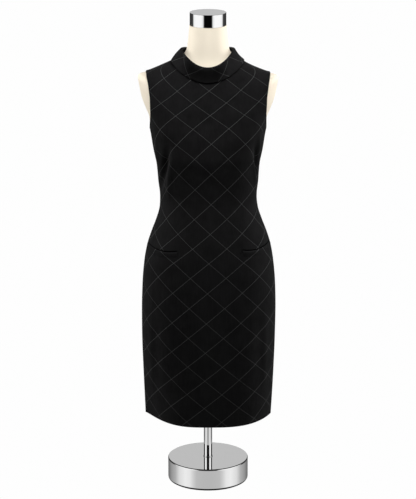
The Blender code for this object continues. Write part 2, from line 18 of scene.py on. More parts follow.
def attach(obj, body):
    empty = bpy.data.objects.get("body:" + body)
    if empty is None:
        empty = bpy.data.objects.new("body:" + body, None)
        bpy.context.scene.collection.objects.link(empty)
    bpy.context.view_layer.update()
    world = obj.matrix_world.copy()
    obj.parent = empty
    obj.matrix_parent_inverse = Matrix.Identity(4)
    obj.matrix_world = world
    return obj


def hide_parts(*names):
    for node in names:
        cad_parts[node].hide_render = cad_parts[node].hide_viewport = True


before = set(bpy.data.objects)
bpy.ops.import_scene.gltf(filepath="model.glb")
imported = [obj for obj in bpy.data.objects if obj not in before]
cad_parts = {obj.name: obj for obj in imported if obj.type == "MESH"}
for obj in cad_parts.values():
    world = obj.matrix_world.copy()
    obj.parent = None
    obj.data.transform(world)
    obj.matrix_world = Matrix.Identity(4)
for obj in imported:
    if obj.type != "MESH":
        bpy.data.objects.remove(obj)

log = logging.getLogger("sheath_dress")

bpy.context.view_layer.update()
ROOT = "dress_on_form"
PULL_BODY = "zip_pull"


class Side(Enum):
    """The wearer's sides, as the sign of X."""

    LEFT = 1
    RIGHT = -1


class Slot(Enum):
    """The record's material slots."""

    CLOTH = "cloth"
    JERSEY = "jersey"
    CHROME = "chrome"
    ENAMEL = "zip_enamel"


# ---- shader writing


@dataclass(frozen=True)
class Signal:
    """A socket that carries a number, on which Python's operators add Math nodes."""

    graph: "Graph"
    socket: bpy.types.NodeSocket

    def maths(self, operation: str, *others: "Signal | float") -> "Signal":
        """Applies a Math node to this number and others."""
        return self.graph.maths(operation, self, *others)

    def __add__(self, other: "Signal | float") -> "Signal":
        """The sum."""
        return self.maths("ADD", other)

    __radd__ = __add__

    def __mul__(self, other: "Signal | float") -> "Signal":
        """The product."""
        return self.maths("MULTIPLY", other)

    __rmul__ = __mul__

    def __sub__(self, other: "Signal | float") -> "Signal":
        """The difference."""
        return self.maths("SUBTRACT", other)

    def __rsub__(self, other: float) -> "Signal":
        """The difference from a number."""
        return self.graph.maths("SUBTRACT", other, self)


class Graph:
    """A node tree that is written one node at a time."""

    def __init__(self, tree: bpy.types.NodeTree) -> None:
        """Takes a material's or the world's tree, and empties it."""
        tree.nodes.clear()
        self.tree = tree

    def node(
        self,
        kind: str,
        settings: dict[str, object] | None = None,
        inputs: dict[str | int, object] | None = None,
        stops: Sequence[tuple[float, tuple[float, ...]]] = (),
    ) -> bpy.types.Node:
        """Adds a node.

        Args:
            kind: its type.
            settings: its own properties, set before its sockets.
            inputs: a value or a link for each socket, by name or number.
            stops: the places and colours of a ramp.

        Returns:
            The node.
        """
        made = self.tree.nodes.new(kind)
        for key, value in (settings or {}).items():
            setattr(made, key, value)
        if stops:
            elements = made.color_ramp.elements
            while len(elements) < len(stops):
                elements.new(1.0)
            for element, (place, colour) in zip(elements, stops):
                element.position = place
                element.color = (*colour, 1.0)
        for key, value in (inputs or {}).items():
            socket = made.inputs[key]
            if isinstance(value, Signal):
                self.tree.links.new(value.socket, socket)
            elif isinstance(value, bpy.types.NodeSocket):
                self.tree.links.new(value, socket)
            else:
                socket.default_value = value
        return made

    def signal(self, node: bpy.types.Node, output: str | int = 0) -> Signal:
        """One of a node's outputs as a number."""
        return Signal(self, node.outputs[output])

    def maths(self, operation: str, *operands: "Signal | float") -> Signal:
        """Adds a Math node to numbers."""
        return self.signal(self.node("ShaderNodeMath", {"operation": operation}, dict(enumerate(operands))))

    def smooth(self, value: Signal, low: float, high: float) -> Signal:
        """Runs from 0 at low to 1 at high, with soft ends."""
        limits = {"Value": value, "From Min": low, "From Max": high}
        return self.signal(self.node("ShaderNodeMapRange", {"interpolation_type": "SMOOTHSTEP"}, limits))

    def noise(self, scale: float, detail: float = 2.0, stretch: tuple[float, ...] = (1, 1, 1)) -> Signal:
        """Soft noise on the object's own coordinates.

        Args:
            scale: blobs for each metre.
            detail: octaves.
            stretch: scale along each axis.

        Returns:
            The noise, about 0.5 on average.
        """
        place = self.node("ShaderNodeTexCoord").outputs["Object"]
        mapped = self.node("ShaderNodeMapping", inputs={"Vector": place, "Scale": stretch})
        inputs = {"Vector": mapped.outputs[0], "Scale": scale, "Detail": detail}
        return self.signal(self.node("ShaderNodeTexNoise", inputs=inputs))

    def mix(self, share: "Signal | float", first: object, second: object) -> bpy.types.NodeSocket:
        """Mixes two colours or links; the share is the second's."""
        inputs = {"Factor": share, 6: first, 7: second}
        return self.node("ShaderNodeMix", {"data_type": "RGBA"}, inputs).outputs[2]

    def bump(self, height: Signal, depth: float, before: bpy.types.NodeSocket | None = None) -> bpy.types.NodeSocket:
        """Turns a height from 0 to 1, worth a depth in metres, into a normal on the one before."""
        inputs = {"Height": height, "Distance": depth} | ({"Normal": before} if before else {})
        return self.node("ShaderNodeBump", inputs=inputs).outputs["Normal"]

    def parts(self, vector: bpy.types.NodeSocket) -> tuple[Signal, ...]:
        """The three numbers of a vector."""
        split = self.node("ShaderNodeSeparateXYZ", inputs={0: vector})
        return tuple(self.signal(split, k) for k in range(3))

    def chart(self, name: str) -> tuple[Signal, ...]:
        """The two numbers of a piece's UV map."""
        return self.parts(self.node("ShaderNodeUVMap", {"uv_map": name}).outputs[0])[:2]

    def surface(self, kind: str, inputs: dict[str | int, object]) -> None:
        """Sends a shader of some kind to the surface."""
        self.node("ShaderNodeOutputMaterial", inputs={"Surface": self.node(kind, inputs=inputs).outputs[0]})


def grey(level: float) -> tuple[float, float, float, float]:
    """A neutral colour."""
    return (level, level, level, 1.0)


def tinted(colour: Sequence[float], factor: float = 1.0) -> tuple[float, ...]:
    """A colour times a factor, with its alpha."""
    return (*(c * factor for c in colour), 1.0)


def blank(name: str) -> tuple[bpy.types.Material, Graph]:
    """An empty material.

    Args:
        name: its name.

    Returns:
        The material and its node tree.
    """
    made = bpy.data.materials.new(name)
    made.use_nodes = True
    return made, Graph(made.node_tree)


WINDOWPANE_CHART = "windowpane"  # UV in windowpane repeats: across and up
PAINTED_SHADE_CHART = "painted_shade_share"  # U is how much shadow is painted on the cloth: 1 in a pocket's mouth over its lining and behind the collar's edge
NOMINAL_REPEAT = 0.088  # metres between crossings along either diagonal


@dataclass(frozen=True)
class WindowpaneSuiting:
    """Black worsted with a thin dotted grey line woven along both yarn directions."""

    ground: tuple[float, float, float] = (0.0100, 0.0100, 0.0102)
    line: tuple[float, float, float] = (0.084, 0.085, 0.085)
    falling_line: float = 0.72  # the strength of the lines that fall to the left
    heather: float = 0.3  # the shares of fine, cloudy and streaked noise in the ground's tone
    clouds: float = 0.8
    streaks: float = 0.5
    tone_drop: float = 0.28
    tone_range: tuple[float, float] = (0.55, 1.45)
    weave_depth: float = 0.00006
    pucker_depth: float = 0.00012
    line_width: float = 0.0010
    dot_pitch: float = 0.0014
    yarn_pitch: float = 0.0007
    roughness: float = 0.82
    gloss: float = 0.02
    sheen: float = 0.01
    painted_shade: float = 0.0006  # the colour of the painted shadow, where the shade chart is 1

    def material(self) -> bpy.types.Material:
        """Writes the cloth's material.

        Returns:
            The material.
        """
        made, graph = blank("windowpane_suiting")
        across, along = graph.chart(WINDOWPANE_CHART)
        square = NOMINAL_REPEAT / math.sqrt(2)
        one, other = across + along, across - along
        falling = self.stripe(graph, one, other, square) * self.falling_line
        lines = falling.maths("MAXIMUM", self.stripe(graph, other, one, square))
        warp = (one * (2 * math.pi * square / self.yarn_pitch)).maths("SINE")
        weft = (other * (2 * math.pi * square / self.yarn_pitch)).maths("SINE")
        weave = warp * weft * 0.5 + 0.5
        heather = graph.noise(900.0, 3.0)
        cloudy = graph.noise(30.0, 3.0)
        streaks = graph.noise(230.0, 2.0, (1.0, 1.0, 0.10))
        tone = heather * self.heather + cloudy * self.clouds + streaks * self.streaks - self.tone_drop
        share = tone.maths("MAXIMUM", 0.0).maths("MINIMUM", 1.0)
        ground = graph.mix(share, *(tinted(self.ground, factor) for factor in self.tone_range))
        colour = graph.mix(lines, ground, tinted(self.line))
        # painted shadow: the cloth darkens towards near black where the shade chart says, in the pocket mouths and
        # under and on the collar
        painted_shade_share, _ = graph.chart(PAINTED_SHADE_CHART)
        colour = graph.mix(painted_shade_share, colour, grey(self.painted_shade))
        normal = graph.bump(weave, self.weave_depth)
        normal = graph.bump(lines * 0.5 + cloudy * 0.6, self.pucker_depth, normal)
        inputs = {
            "Base Color": colour,
            "Roughness": weave * 0.06 + (self.roughness - 0.03),
            "Specular IOR Level": self.gloss,
            "Sheen Weight": self.sheen,
            "Sheen Roughness": 0.5,
            "Normal": normal,
        }
        graph.surface("ShaderNodeBsdfPrincipled", inputs)
        return made

    def stripe(self, graph: Graph, over: Signal, beside: Signal, square: float) -> Signal:
        """One family of lines.

        Args:
            graph: the cloth's node tree.
            over: the coordinate that is a whole number on each line.
            beside: the coordinate along a line.
            square: metres between two lines.

        Returns:
            1 on a line's dots and 0 off it.
        """
        away = over.maths("PINGPONG", 0.5) * square
        half = self.line_width / 2
        on_line = 1 - graph.smooth(away, half * 0.7, half * 1.3)
        dots = (beside * (2 * math.pi * square / self.dot_pitch)).maths("SINE") * 0.22 + 0.78
        return on_line * dots


@dataclass(frozen=True)
class CreamJersey:
    """A fine knit cover, stretched smooth."""

    colour: tuple[float, float, float] = (0.880, 0.796, 0.655)
    knit_pitch: float = 0.0009
    knit_depth: float = 0.00003
    tone_range: tuple[float, float] = (0.97, 1.02)
    roughness: float = 0.75

    def material(self) -> bpy.types.Material:
        """Writes the jersey's material.

        Returns:
            The material.
        """
        made, graph = blank("cream_jersey")
        around, up = graph.chart("knit")
        ribs = (around * (2 * math.pi / self.knit_pitch)).maths("SINE")
        courses = (up * (2 * math.pi / (self.knit_pitch * 0.8)) + ribs * 0.8).maths("SINE")
        knit = ribs * 0.25 + courses * 0.25 + 0.5
        tone = graph.noise(14.0, 2.0) * 0.6 + knit * 0.2
        inputs = {
            "Base Color": graph.mix(tone, *(tinted(self.colour, factor) for factor in self.tone_range)),
            "Roughness": knit * 0.06 + (self.roughness - 0.03),
            "Specular IOR Level": 0.1,
            "Sheen Weight": 0.05,
            "Sheen Roughness": 0.4,
            "Normal": graph.bump(knit, self.knit_depth),
        }
        graph.surface("ShaderNodeBsdfPrincipled", inputs)
        return made


@dataclass(frozen=True)
class Polished:
    """Bright plated steel, or enamel where it isn't metal."""

    name: str
    colour: tuple[float, float, float]
    metallic: float
    roughness: float
    scuff: float  # how much the roughness wanders

    def material(self) -> bpy.types.Material:
        """Writes the finish.

        Returns:
            The material.
        """
        made, graph = blank(self.name)
        wander = graph.noise(35.0, 4.0)
        fine = graph.noise(700.0, 2.0, (1.0, 1.0, 0.15))
        inputs = {
            "Base Color": graph.mix(wander * 0.5, tinted(self.colour), tinted(self.colour, 0.94)),
            "Metallic": self.metallic,
            "Roughness": (wander * 0.6 + fine * 0.4) * self.scuff + self.roughness,
            "Normal": graph.bump(wander, 0.00001),
        }
        graph.surface("ShaderNodeBsdfPrincipled", inputs)
        return made


# ---- the worn shape


@dataclass(frozen=True)
class Ring:
    """One ring of the cloth's outer face: its heights and reach at the side, front and back."""

    side_z: float
    half_width: float
    front_z: float
    front_depth: float
    back_z: float
    back_depth: float
    flat: float
    right_pinch: float
    left_pinch: float
    left_drop: float
    lean: float
    ease: float


RINGS = (
    Ring(0.1875, 0.1711, 0.1848, 0.1205, 0.1860, 0.1100, 3.20, 0.80, 1.17, 0.0015, 0.0006, 0.0060),
    Ring(0.3000, 0.1762, 0.3000, 0.1205, 0.3000, 0.1170, 2.50, 1.25, 1.60, 0, 0.0010, 0.0060),
    Ring(0.4200, 0.1798, 0.4200, 0.1225, 0.4200, 0.1250, 2.35, 1.60, 1.70, 0, 0.0014, 0.0050),
    Ring(0.4850, 0.1803, 0.4850, 0.1240, 0.4850, 0.1295, 2.25, 1.75, 1.75, 0, 0.0019, 0.0040),
    Ring(0.5600, 0.1782, 0.5600, 0.1240, 0.5600, 0.1330, 2.20, 1.90, 1.90, 0, 0.0022, 0.0030),
    Ring(0.6200, 0.1729, 0.6200, 0.1215, 0.6200, 0.1290, 2.20, 1.95, 1.95, 0, 0.0022, 0.0030),
    Ring(0.6640, 0.1651, 0.6640, 0.1180, 0.6640, 0.1215, 2.15, 1.95, 1.95, 0, 0.0025, 0.0030),
    Ring(0.7000, 0.1540, 0.7000, 0.1130, 0.7000, 0.1115, 2.10, 1.95, 1.95, 0, 0.0028, 0.0040),
    Ring(0.7350, 0.1407, 0.7350, 0.1060, 0.7350, 0.1000, 2.10, 2.00, 2.00, 0, 0.0027, 0.0050),
    Ring(0.7700, 0.1307, 0.7700, 0.1010, 0.7700, 0.0915, 2.10, 2.00, 2.00, 0, 0.0019, 0.0060),
    Ring(0.7970, 0.1286, 0.7970, 0.0995, 0.7970, 0.0885, 2.10, 2.00, 2.00, 0, 0.0010, 0.0060),
    Ring(0.8400, 0.1329, 0.8400, 0.1045, 0.8400, 0.0900, 2.15, 2.00, 2.00, 0, 0.0009, 0.0060),
    Ring(0.8840, 0.1361, 0.8840, 0.1165, 0.8840, 0.0955, 2.25, 2.05, 2.05, 0, 0.0003, 0.0050),
    Ring(0.9280, 0.1446, 0.9260, 0.1280, 0.9270, 0.1030, 2.40, 2.15, 2.15, 0, 0.0001, 0.0030),
    Ring(0.9850, 0.1538, 0.9750, 0.1256, 0.9760, 0.1090, 2.85, 2.35, 2.35, 0, 0, 0.0020),
    Ring(0.9945, 0.1562, 0.9832, 0.1242, 0.9845, 0.1098, 2.93, 2.40, 2.40, 0.0003, 0, 0.0020),
    Ring(1.0145, 0.1578, 0.9990, 0.1211, 1.0015, 0.1109, 3.05, 2.50, 2.50, 0.0010, 0, 0.0020),
    Ring(1.0400, 0.1676, 1.0165, 0.1173, 1.0235, 0.1115, 3.00, 2.35, 2.35, 0.0020, 0, 0.0020),
    Ring(1.0700, 0.1786, 1.0360, 0.1130, 1.0480, 0.1110, 2.75, 2.20, 2.20, 0.0030, 0, 0.0020),
    Ring(1.1050, 0.1856, 1.0580, 0.1075, 1.0750, 0.1080, 2.45, 2.10, 2.10, 0.0035, 0, 0.0020),
    Ring(1.1230, 0.1886, 1.0715, 0.1040, 1.0920, 0.1055, 2.20, 2.00, 2.00, 0.0035, 0, 0.0020),
    Ring(1.1318, 0.1790, 1.0850, 0.1005, 1.1040, 0.1030, 2.10, 2.00, 2.00, 0.0035, 0, 0.0020),
    Ring(1.1345, 0.1634, 1.0955, 0.0975, 1.1140, 0.1000, 2.05, 2.00, 2.00, 0.0035, 0, 0.0020),
    Ring(1.1432, 0.1400, 1.1070, 0.0945, 1.1270, 0.0960, 2.05, 2.00, 2.00, 0.0042, 0, 0.0020),
    Ring(1.1535, 0.1165, 1.1180, 0.0915, 1.1390, 0.0915, 2.00, 2.00, 2.00, 0.0047, 0, 0.0020),
    Ring(1.1620, 0.0973, 1.1280, 0.0885, 1.1500, 0.0860, 2.00, 2.00, 2.00, 0.0030, 0, 0.0020),
    Ring(1.1675, 0.0850, 1.1350, 0.0860, 1.1580, 0.0810, 2.00, 2.00, 2.00, 0.0015, 0, 0.0012),
    Ring(1.1780, 0.0710, 1.1500, 0.0740, 1.1720, 0.0710, 2.00, 2.00, 2.00, 0, 0, 0.0012),
    Ring(1.1920, 0.0594, 1.1740, 0.0615, 1.1900, 0.0600, 2.00, 2.00, 2.00, 0, 0, 0.0012),
    Ring(1.2220, 0.0548, 1.2140, 0.0570, 1.2200, 0.0560, 2.00, 2.00, 2.00, 0, 0, 0.0012),
    Ring(1.2570, 0.0513, 1.2570, 0.0508, 1.2570, 0.0508, 2.00, 2.00, 2.00, 0, 0, 0.0012),
)
UNDERARM, SHOULDER_TIP, NECKLINE = 14, 22, 26  # rows of the table
EASE = 11  # the column of a ring's ease
RISE = 2.0  # how a ring or a collar line climbs from its middle to its side
ARMHOLE = (  # height, half the width between the edges, and how much wider the left is
    (0.9850, 0.1538, 0.0),
    (1.0360, 0.1518, 0.0010),
    (1.0790, 0.1531, 0.0013),
    (1.1110, 0.1574, 0.0013),
    (1.1345, 0.1632, 0.0006),
)


def smooth_curve(at: np.ndarray, knots: np.ndarray, values: np.ndarray) -> np.ndarray:
    """Reads a table along a cubic that never swings past its rows.

    Args:
        at: where it is read.
        knots: the rows' places, rising.
        values: the rows' values.

    Returns:
        The values at those places.
    """
    step = np.diff(knots)
    rise = np.diff(values) / step
    slope = np.zeros(len(values))
    slope[0], slope[-1] = rise[0], rise[-1]
    before, after = rise[:-1], rise[1:]
    weight_before, weight_after = 2 * step[1:] + step[:-1], step[1:] + 2 * step[:-1]
    same_way = before * after > 0
    blend = (weight_before + weight_after)[same_way] / (
        weight_before[same_way] / before[same_way] + weight_after[same_way] / after[same_way]
    )
    slope[1:-1][same_way] = blend
    place = np.clip(np.searchsorted(knots, at) - 1, 0, len(step) - 1)
    width = step[place]
    t = (at - knots[place]) / width
    return (
        values[place] * (1 + 2 * t) * (1 - t) ** 2
        + values[place + 1] * t**2 * (3 - 2 * t)
        + slope[place] * width * t * (1 - t) ** 2
        + slope[place + 1] * width * t**2 * (t - 1)
    )


@dataclass
class WornShape:
    """The dressed figure's rings, read at any distance from the hem."""

    rings: tuple[Ring, ...] = RINGS
    samples: int = 721
    soften: float = 0.006  # metres over which the table's corners are rounded

    def __post_init__(self) -> None:
        """Walks up the side to find each ring's distance from the hem."""
        self.table = np.array([astuple(ring) for ring in self.rings])
        sides = self.table[:, [1, 0]]
        steps = np.linalg.norm(np.diff(sides, axis=0), axis=1)
        self.ways = np.concatenate([[0.0], np.cumsum(steps)])

    def at(self, ways: np.ndarray) -> np.ndarray:
        """The ring numbers at distances from the hem.

        Args:
            ways: the distances.

        Returns:
            One row of ring numbers for each.
        """
        total = np.zeros((len(ways), self.table.shape[1]))
        shifts = np.linspace(-1, 1, 5) * self.soften
        weights = np.array([1.0, 2.0, 3.0, 2.0, 1.0])
        for shift, weight in zip(shifts, weights / weights.sum()):
            moved = ways + shift
            inside = np.clip(moved, 0.0, self.ways[-1])
            reflected = 2 * ways - np.clip(ways - shift, 0.0, self.ways[-1])
            use = np.where(moved == inside, inside, np.clip(reflected, 0.0, self.ways[-1]))
            total += weight * np.stack([smooth_curve(use, self.ways, c) for c in self.table.T], axis=1)
        return total

    def way_at_height(self, z: float | np.ndarray) -> float | np.ndarray:
        """The distance from the hem of the level ring at each height below the underarm."""
        ways = np.linspace(0.0, self.ways[UNDERARM], self.samples)
        return np.interp(z, self.at(ways)[:, 0], ways)

    def points(self, ring: np.ndarray, turns: np.ndarray) -> np.ndarray:
        """Points of rings at turns from the centre front.

        Args:
            ring: one row of ring numbers for each row of turns.
            turns: degrees; 90 is the left and 180 the back.

        Returns:
            The points, one row for each ring.
        """
        side_z, half_width, front_z, front_depth, back_z, back_depth, flat, right, left, drop, lean, _ = (
            ring[:, k : k + 1] for k in range(ring.shape[1])
        )
        across = np.sin(np.radians(turns))
        in_front = np.cos(np.radians(turns)) >= 0
        share = np.abs(across)
        depth = np.where(in_front, -front_depth, back_depth)
        middle_z = np.where(in_front, front_z, back_z)
        on_left = across > 0
        reach = np.clip(1 - share**flat, 0, 1) ** (1 / np.where(on_left, left, right))
        z = middle_z + (side_z - drop * on_left - middle_z) * share**RISE
        return np.stack([half_width * across + lean * share**2, depth * reach, z], axis=-1)

    def places(self, ways: np.ndarray, turns: np.ndarray) -> np.ndarray:
        """Points at their own distances from the hem and their own turns."""
        return self.points(self.at(ways.ravel()), turns.reshape(-1, 1)).reshape(*ways.shape, 3)

    def round_from_front(self, ways: np.ndarray, turns: np.ndarray) -> np.ndarray:
        """How far round from the centre front such points are.

        Args:
            ways: the distances from the hem.
            turns: the turns, in an array of the same shape.

        Returns:
            The distances round, below 0 on the right.
        """
        fine = turns.reshape(-1, 1) * np.linspace(0, 1, 81)
        line = self.points(self.at(ways.ravel()), fine)
        walked = np.linalg.norm(np.diff(line, axis=1), axis=2).sum(axis=1)
        return (walked * np.sign(turns.ravel())).reshape(turns.shape)

    def seam_turn(self, way: float, middle_turn: float, side: int) -> float:
        """The turn at which a ring meets one side's armhole edge.

        Args:
            way: the ring's distance from the hem.
            middle_turn: where the search starts.
            side: 1 for the left and -1 for the right.

        Returns:
            The turn, which is 90 to that side where the ring meets a seam.
        """
        if not self.ways[UNDERARM] < way < self.ways[SHOULDER_TIP]:
            return side * 90.0
        turns = side * np.linspace(middle_turn, 90.0, self.samples)
        line = self.points(self.at(np.array([way])), turns[None])[0]
        heights, widths, leans = (np.array(column) for column in zip(*ARMHOLE))
        beyond = np.abs(line[:, 0]) - np.interp(line[:, 2], heights, widths + side * leans)
        if beyond.max() <= 0:
            return side * 90.0
        first = int(np.argmax(beyond > 0))
        part = beyond[first - 1] / (beyond[first - 1] - beyond[first])
        return float(turns[first - 1] + part * (turns[first] - turns[first - 1]))

    def strip(
        self, ways: np.ndarray, first: np.ndarray, last: np.ndarray, shares: np.ndarray, zero_turn: float
    ) -> tuple[np.ndarray, np.ndarray]:
        """Points along rings between two turns, and how far round each is from a middle turn.

        Args:
            ways: the rings' distances from the hem.
            first: each ring's first turn.
            last: each ring's last turn.
            shares: where the points lie along the ring, 0 to 1.
            zero_turn: the turn from which the distance round is counted.

        Returns:
            The points, and their signed distances round the ring.
        """
        rings = self.at(ways)
        turns = first[:, None] + (last - first)[:, None] * np.linspace(0, 1, self.samples)
        fine = self.points(rings, turns)
        walked = np.cumsum(np.linalg.norm(np.diff(fine, axis=1), axis=2), axis=1)
        walked = np.concatenate([np.zeros((len(ways), 1)), walked], axis=1)
        picked = np.empty((len(ways), len(shares)))
        around = np.empty_like(picked)
        for i, (walk, turn) in enumerate(zip(walked, turns)):
            at = shares * walk[-1]
            picked[i] = np.interp(at, walk, turn)
            ordered = slice(None) if turn[-1] > turn[0] else slice(None, None, -1)
            around[i] = at - np.interp(zero_turn, turn[ordered], walk[ordered])
        return self.points(rings, picked), around


def outward(points: np.ndarray) -> np.ndarray:
    """The outward normals of a grid whose rows go up and whose columns go right, seen outside."""
    normals = np.cross(np.gradient(points, axis=1), np.gradient(points, axis=0))
    return normals / np.maximum(np.linalg.norm(normals, axis=-1, keepdims=True), 1e-12)


def shares_with_close_ends(count: int, length: float, steps: Sequence[float]) -> np.ndarray:
    """Even places along a length of 1, with closer ones at both ends.

    Args:
        count: the even places.
        length: the real length, in metres.
        steps: distances from each end, in metres.

    Returns:
        The places, rising from 0 to 1.
    """
    close = np.array(steps) / length
    middle = np.linspace(close[-1], 1 - close[-1], count)
    return np.concatenate([[0.0], close[:-1], middle, 1 - close[:-1][::-1], [1.0]])


def spans(marks: Sequence[float], counts: Sequence[int]) -> list[np.ndarray]:
    """Even places from each mark up to the next one, which isn't among them."""
    return [np.linspace(low, high, count, endpoint=False) for low, high, count in zip(marks, marks[1:], counts)]


# ---- folds and pattern


@dataclass(frozen=True)
class Fold:
    """A soft trough in the cloth, or a ridge where its depth is below 0.

    Its places are (distance round from the panel's middle, height) at both ends.
    """

    around_low: float
    z_low: float
    around_high: float
    z_high: float
    bow: float  # how far its middle is pushed sideways
    half_width: float
    depth: float

    def depths(self, around: np.ndarray, z: np.ndarray) -> np.ndarray:
        """How far it pushes each point in.

        Args:
            around: the points' distances round.
            z: their heights.

        Returns:
            The depths.
        """
        start = np.array([self.around_low, self.z_low])
        along = np.array([self.around_high, self.z_high]) - start
        length = float(np.hypot(*along))
        along /= length
        offset = np.stack([around, z], axis=-1) - start
        t = np.clip((offset @ along) / length, 0, 1)
        aside = offset @ np.array([along[1], -along[0]]) - self.bow * np.sin(math.pi * t)
        beyond = np.abs(offset @ along - t * length)
        swell = np.sin(math.pi * np.clip(t, 0.0, 1.0)) ** 1.3
        return self.depth * swell * np.exp(-((aside**2 + beyond**2) / self.half_width**2))


FRONT_FOLDS = (
    Fold(0.180, 0.805, 0.128, 0.968, 0.006, 0.0120, 0.0108),
    Fold(-0.168, 0.796, -0.100, 0.975, 0.001, 0.0122, 0.0116),
    Fold(0.160, 0.798, 0.134, 0.940, 0.000, 0.0078, -0.0044),
    Fold(-0.118, 0.792, -0.104, 0.925, 0.000, 0.0088, -0.0048),
    Fold(0.162, 0.900, 0.147, 1.000, 0.001, 0.0080, -0.0032),
    Fold(-0.170, 0.880, -0.150, 0.990, -0.001, 0.0085, -0.0034),
    Fold(0.142, 0.230, 0.145, 0.585, 0.004, 0.0190, 0.0021),
    Fold(-0.150, 0.270, -0.146, 0.600, -0.004, 0.0180, 0.0019),
    Fold(0.172, 0.240, 0.170, 0.520, 0.000, 0.0110, -0.0018),
    Fold(-0.176, 0.250, -0.172, 0.540, 0.000, 0.0110, -0.0016),
    Fold(0.060, 0.770, 0.135, 0.812, -0.003, 0.0090, 0.0011),
    Fold(-0.055, 0.775, -0.132, 0.808, 0.003, 0.0090, 0.0012),
    Fold(0.120, 1.010, 0.150, 1.060, 0.002, 0.0090, 0.0012),
    Fold(-0.118, 1.006, -0.149, 1.062, -0.002, 0.0090, 0.0014),
)
BACK_FOLDS = (
    Fold(0.022, 0.762, 0.120, 0.786, 0.004, 0.0095, 0.0022),
    Fold(0.030, 0.806, 0.105, 0.826, -0.003, 0.0090, 0.0018),
    Fold(0.100, 0.620, 0.128, 0.860, 0.004, 0.0140, 0.0020),
    Fold(0.082, 0.960, 0.136, 1.040, 0.006, 0.0120, 0.0022),
    Fold(0.060, 0.250, 0.066, 0.520, 0.003, 0.0180, 0.0020),
    Fold(0.128, 0.230, 0.126, 0.560, -0.003, 0.0180, 0.0022),
    Fold(0.020, 1.085, 0.090, 1.120, 0.002, 0.0120, 0.0012),
)


@dataclass(frozen=True)
class Crossing:
    """A row of windowpane crossings, half a repeat above the one before."""

    z: float
    x: float
    repeat: float  # distance round to the row's next crossing
    droop: float  # how much lower the row lies 0.1 m to either side
    tilt: float  # how much the row climbs towards the left, for each metre


CROSSINGS = (
    Crossing(0.1620, -0.0108, 0.0940, 0.0010, 0.000),
    Crossing(0.2012, -0.0105, 0.0940, 0.0010, 0.000),
    Crossing(0.2400, -0.0101, 0.0940, 0.0012, 0.000),
    Crossing(0.2786, -0.0097, 0.0935, 0.0015, 0.000),
    Crossing(0.3177, -0.0085, 0.0930, 0.0018, 0.000),
    Crossing(0.3565, -0.0078, 0.0932, 0.0020, 0.000),
    Crossing(0.3961, -0.0070, 0.0930, 0.0022, 0.000),
    Crossing(0.4370, -0.0057, 0.0932, 0.0026, 0.000),
    Crossing(0.4783, -0.0043, 0.0935, 0.0030, 0.000),
    Crossing(0.5203, -0.0030, 0.0938, 0.0034, 0.000),
    Crossing(0.5616, -0.0014, 0.0942, 0.0034, 0.004),
    Crossing(0.6032, 0.0005, 0.0942, 0.0034, 0.004),
    Crossing(0.6429, 0.0022, 0.0942, 0.0034, 0.004),
    Crossing(0.6817, 0.0044, 0.0905, 0.0038, 0.006),
    Crossing(0.7199, 0.0060, 0.0875, 0.0044, 0.008),
    Crossing(0.7585, 0.0070, 0.0860, 0.0052, 0.008),
    Crossing(0.7984, 0.0082, 0.0860, 0.0064, 0.006),
    Crossing(0.8398, 0.0084, 0.0854, 0.0074, 0.006),
    Crossing(0.8840, 0.0088, 0.0869, 0.0078, 0.006),
    Crossing(0.9280, 0.0090, 0.0880, 0.0070, 0.010),
    Crossing(0.9675, 0.0087, 0.0919, 0.0056, 0.015),
    Crossing(1.0065, 0.0075, 0.0930, 0.0030, 0.018),
    Crossing(1.0400, 0.0055, 0.0904, 0.0010, 0.012),
    Crossing(1.0712, 0.0042, 0.0872, 0.0010, 0.015),
    Crossing(1.1018, 0.0030, 0.0846, 0.0014, 0.015),
    Crossing(1.1335, 0.0025, 0.0850, 0.0030, 0.012),
    Crossing(1.1655, 0.0025, 0.0850, 0.0030, 0.010),
    Crossing(1.1975, 0.0025, 0.0850, 0.0030, 0.010),
)


@dataclass(frozen=True)
class PocketMouth:
    """The edge of one slit pocket, and how the cloth under it is pulled aside."""

    side: Side
    inner_x: float
    inner_z: float
    rise: float  # how much higher its outer end is
    sag: float  # how much its middle hangs below a straight line
    pull: float  # how far the cloth just below it is drawn outwards
    outer_x: float = 0.160
    pull_fades: float = 0.020  # below the mouth

    def along(self, x: np.ndarray) -> np.ndarray:
        """How far along the mouth each place is, from 0 at its inner end to 1."""
        return (x * self.side.value - self.inner_x) / (self.outer_x - self.inner_x)

    def outer_end(self, x: np.ndarray) -> np.ndarray:
        """How near the mouth's outer end each place is, from 0 at 0.6 of its length to 1."""
        return np.clip((self.along(x) - 0.6) / 0.4, 0.0, 1.0) ** 2

    def edge_z(self, x: np.ndarray) -> np.ndarray:
        """The mouth's height at each place."""
        t = np.clip(self.along(x), 0.0, 1.0)
        return self.inner_z + self.rise * t - self.sag * np.sin(math.pi * t)

    def pulled(self, x: np.ndarray, z: np.ndarray) -> np.ndarray:
        """How far the windowpane is moved towards the left at each place.

        Args:
            x: the places.
            z: their heights.

        Returns:
            The distances.
        """
        under = self.edge_z(x) - z
        wide = np.clip(self.along(x) / 0.35, 0.0, 1.0)
        fade = np.exp(-np.maximum(under, 0.0) / self.pull_fades)
        return self.side.value * self.pull * wide**2 * (3 - 2 * wide) * fade * (under > 0)


MOUTHS = (
    PocketMouth(Side.LEFT, 0.0905, 0.6735, 0.0020, 0.0055, 0.0100),
    PocketMouth(Side.RIGHT, 0.0815, 0.6713, 0.0002, 0.0055, 0.0130),
)


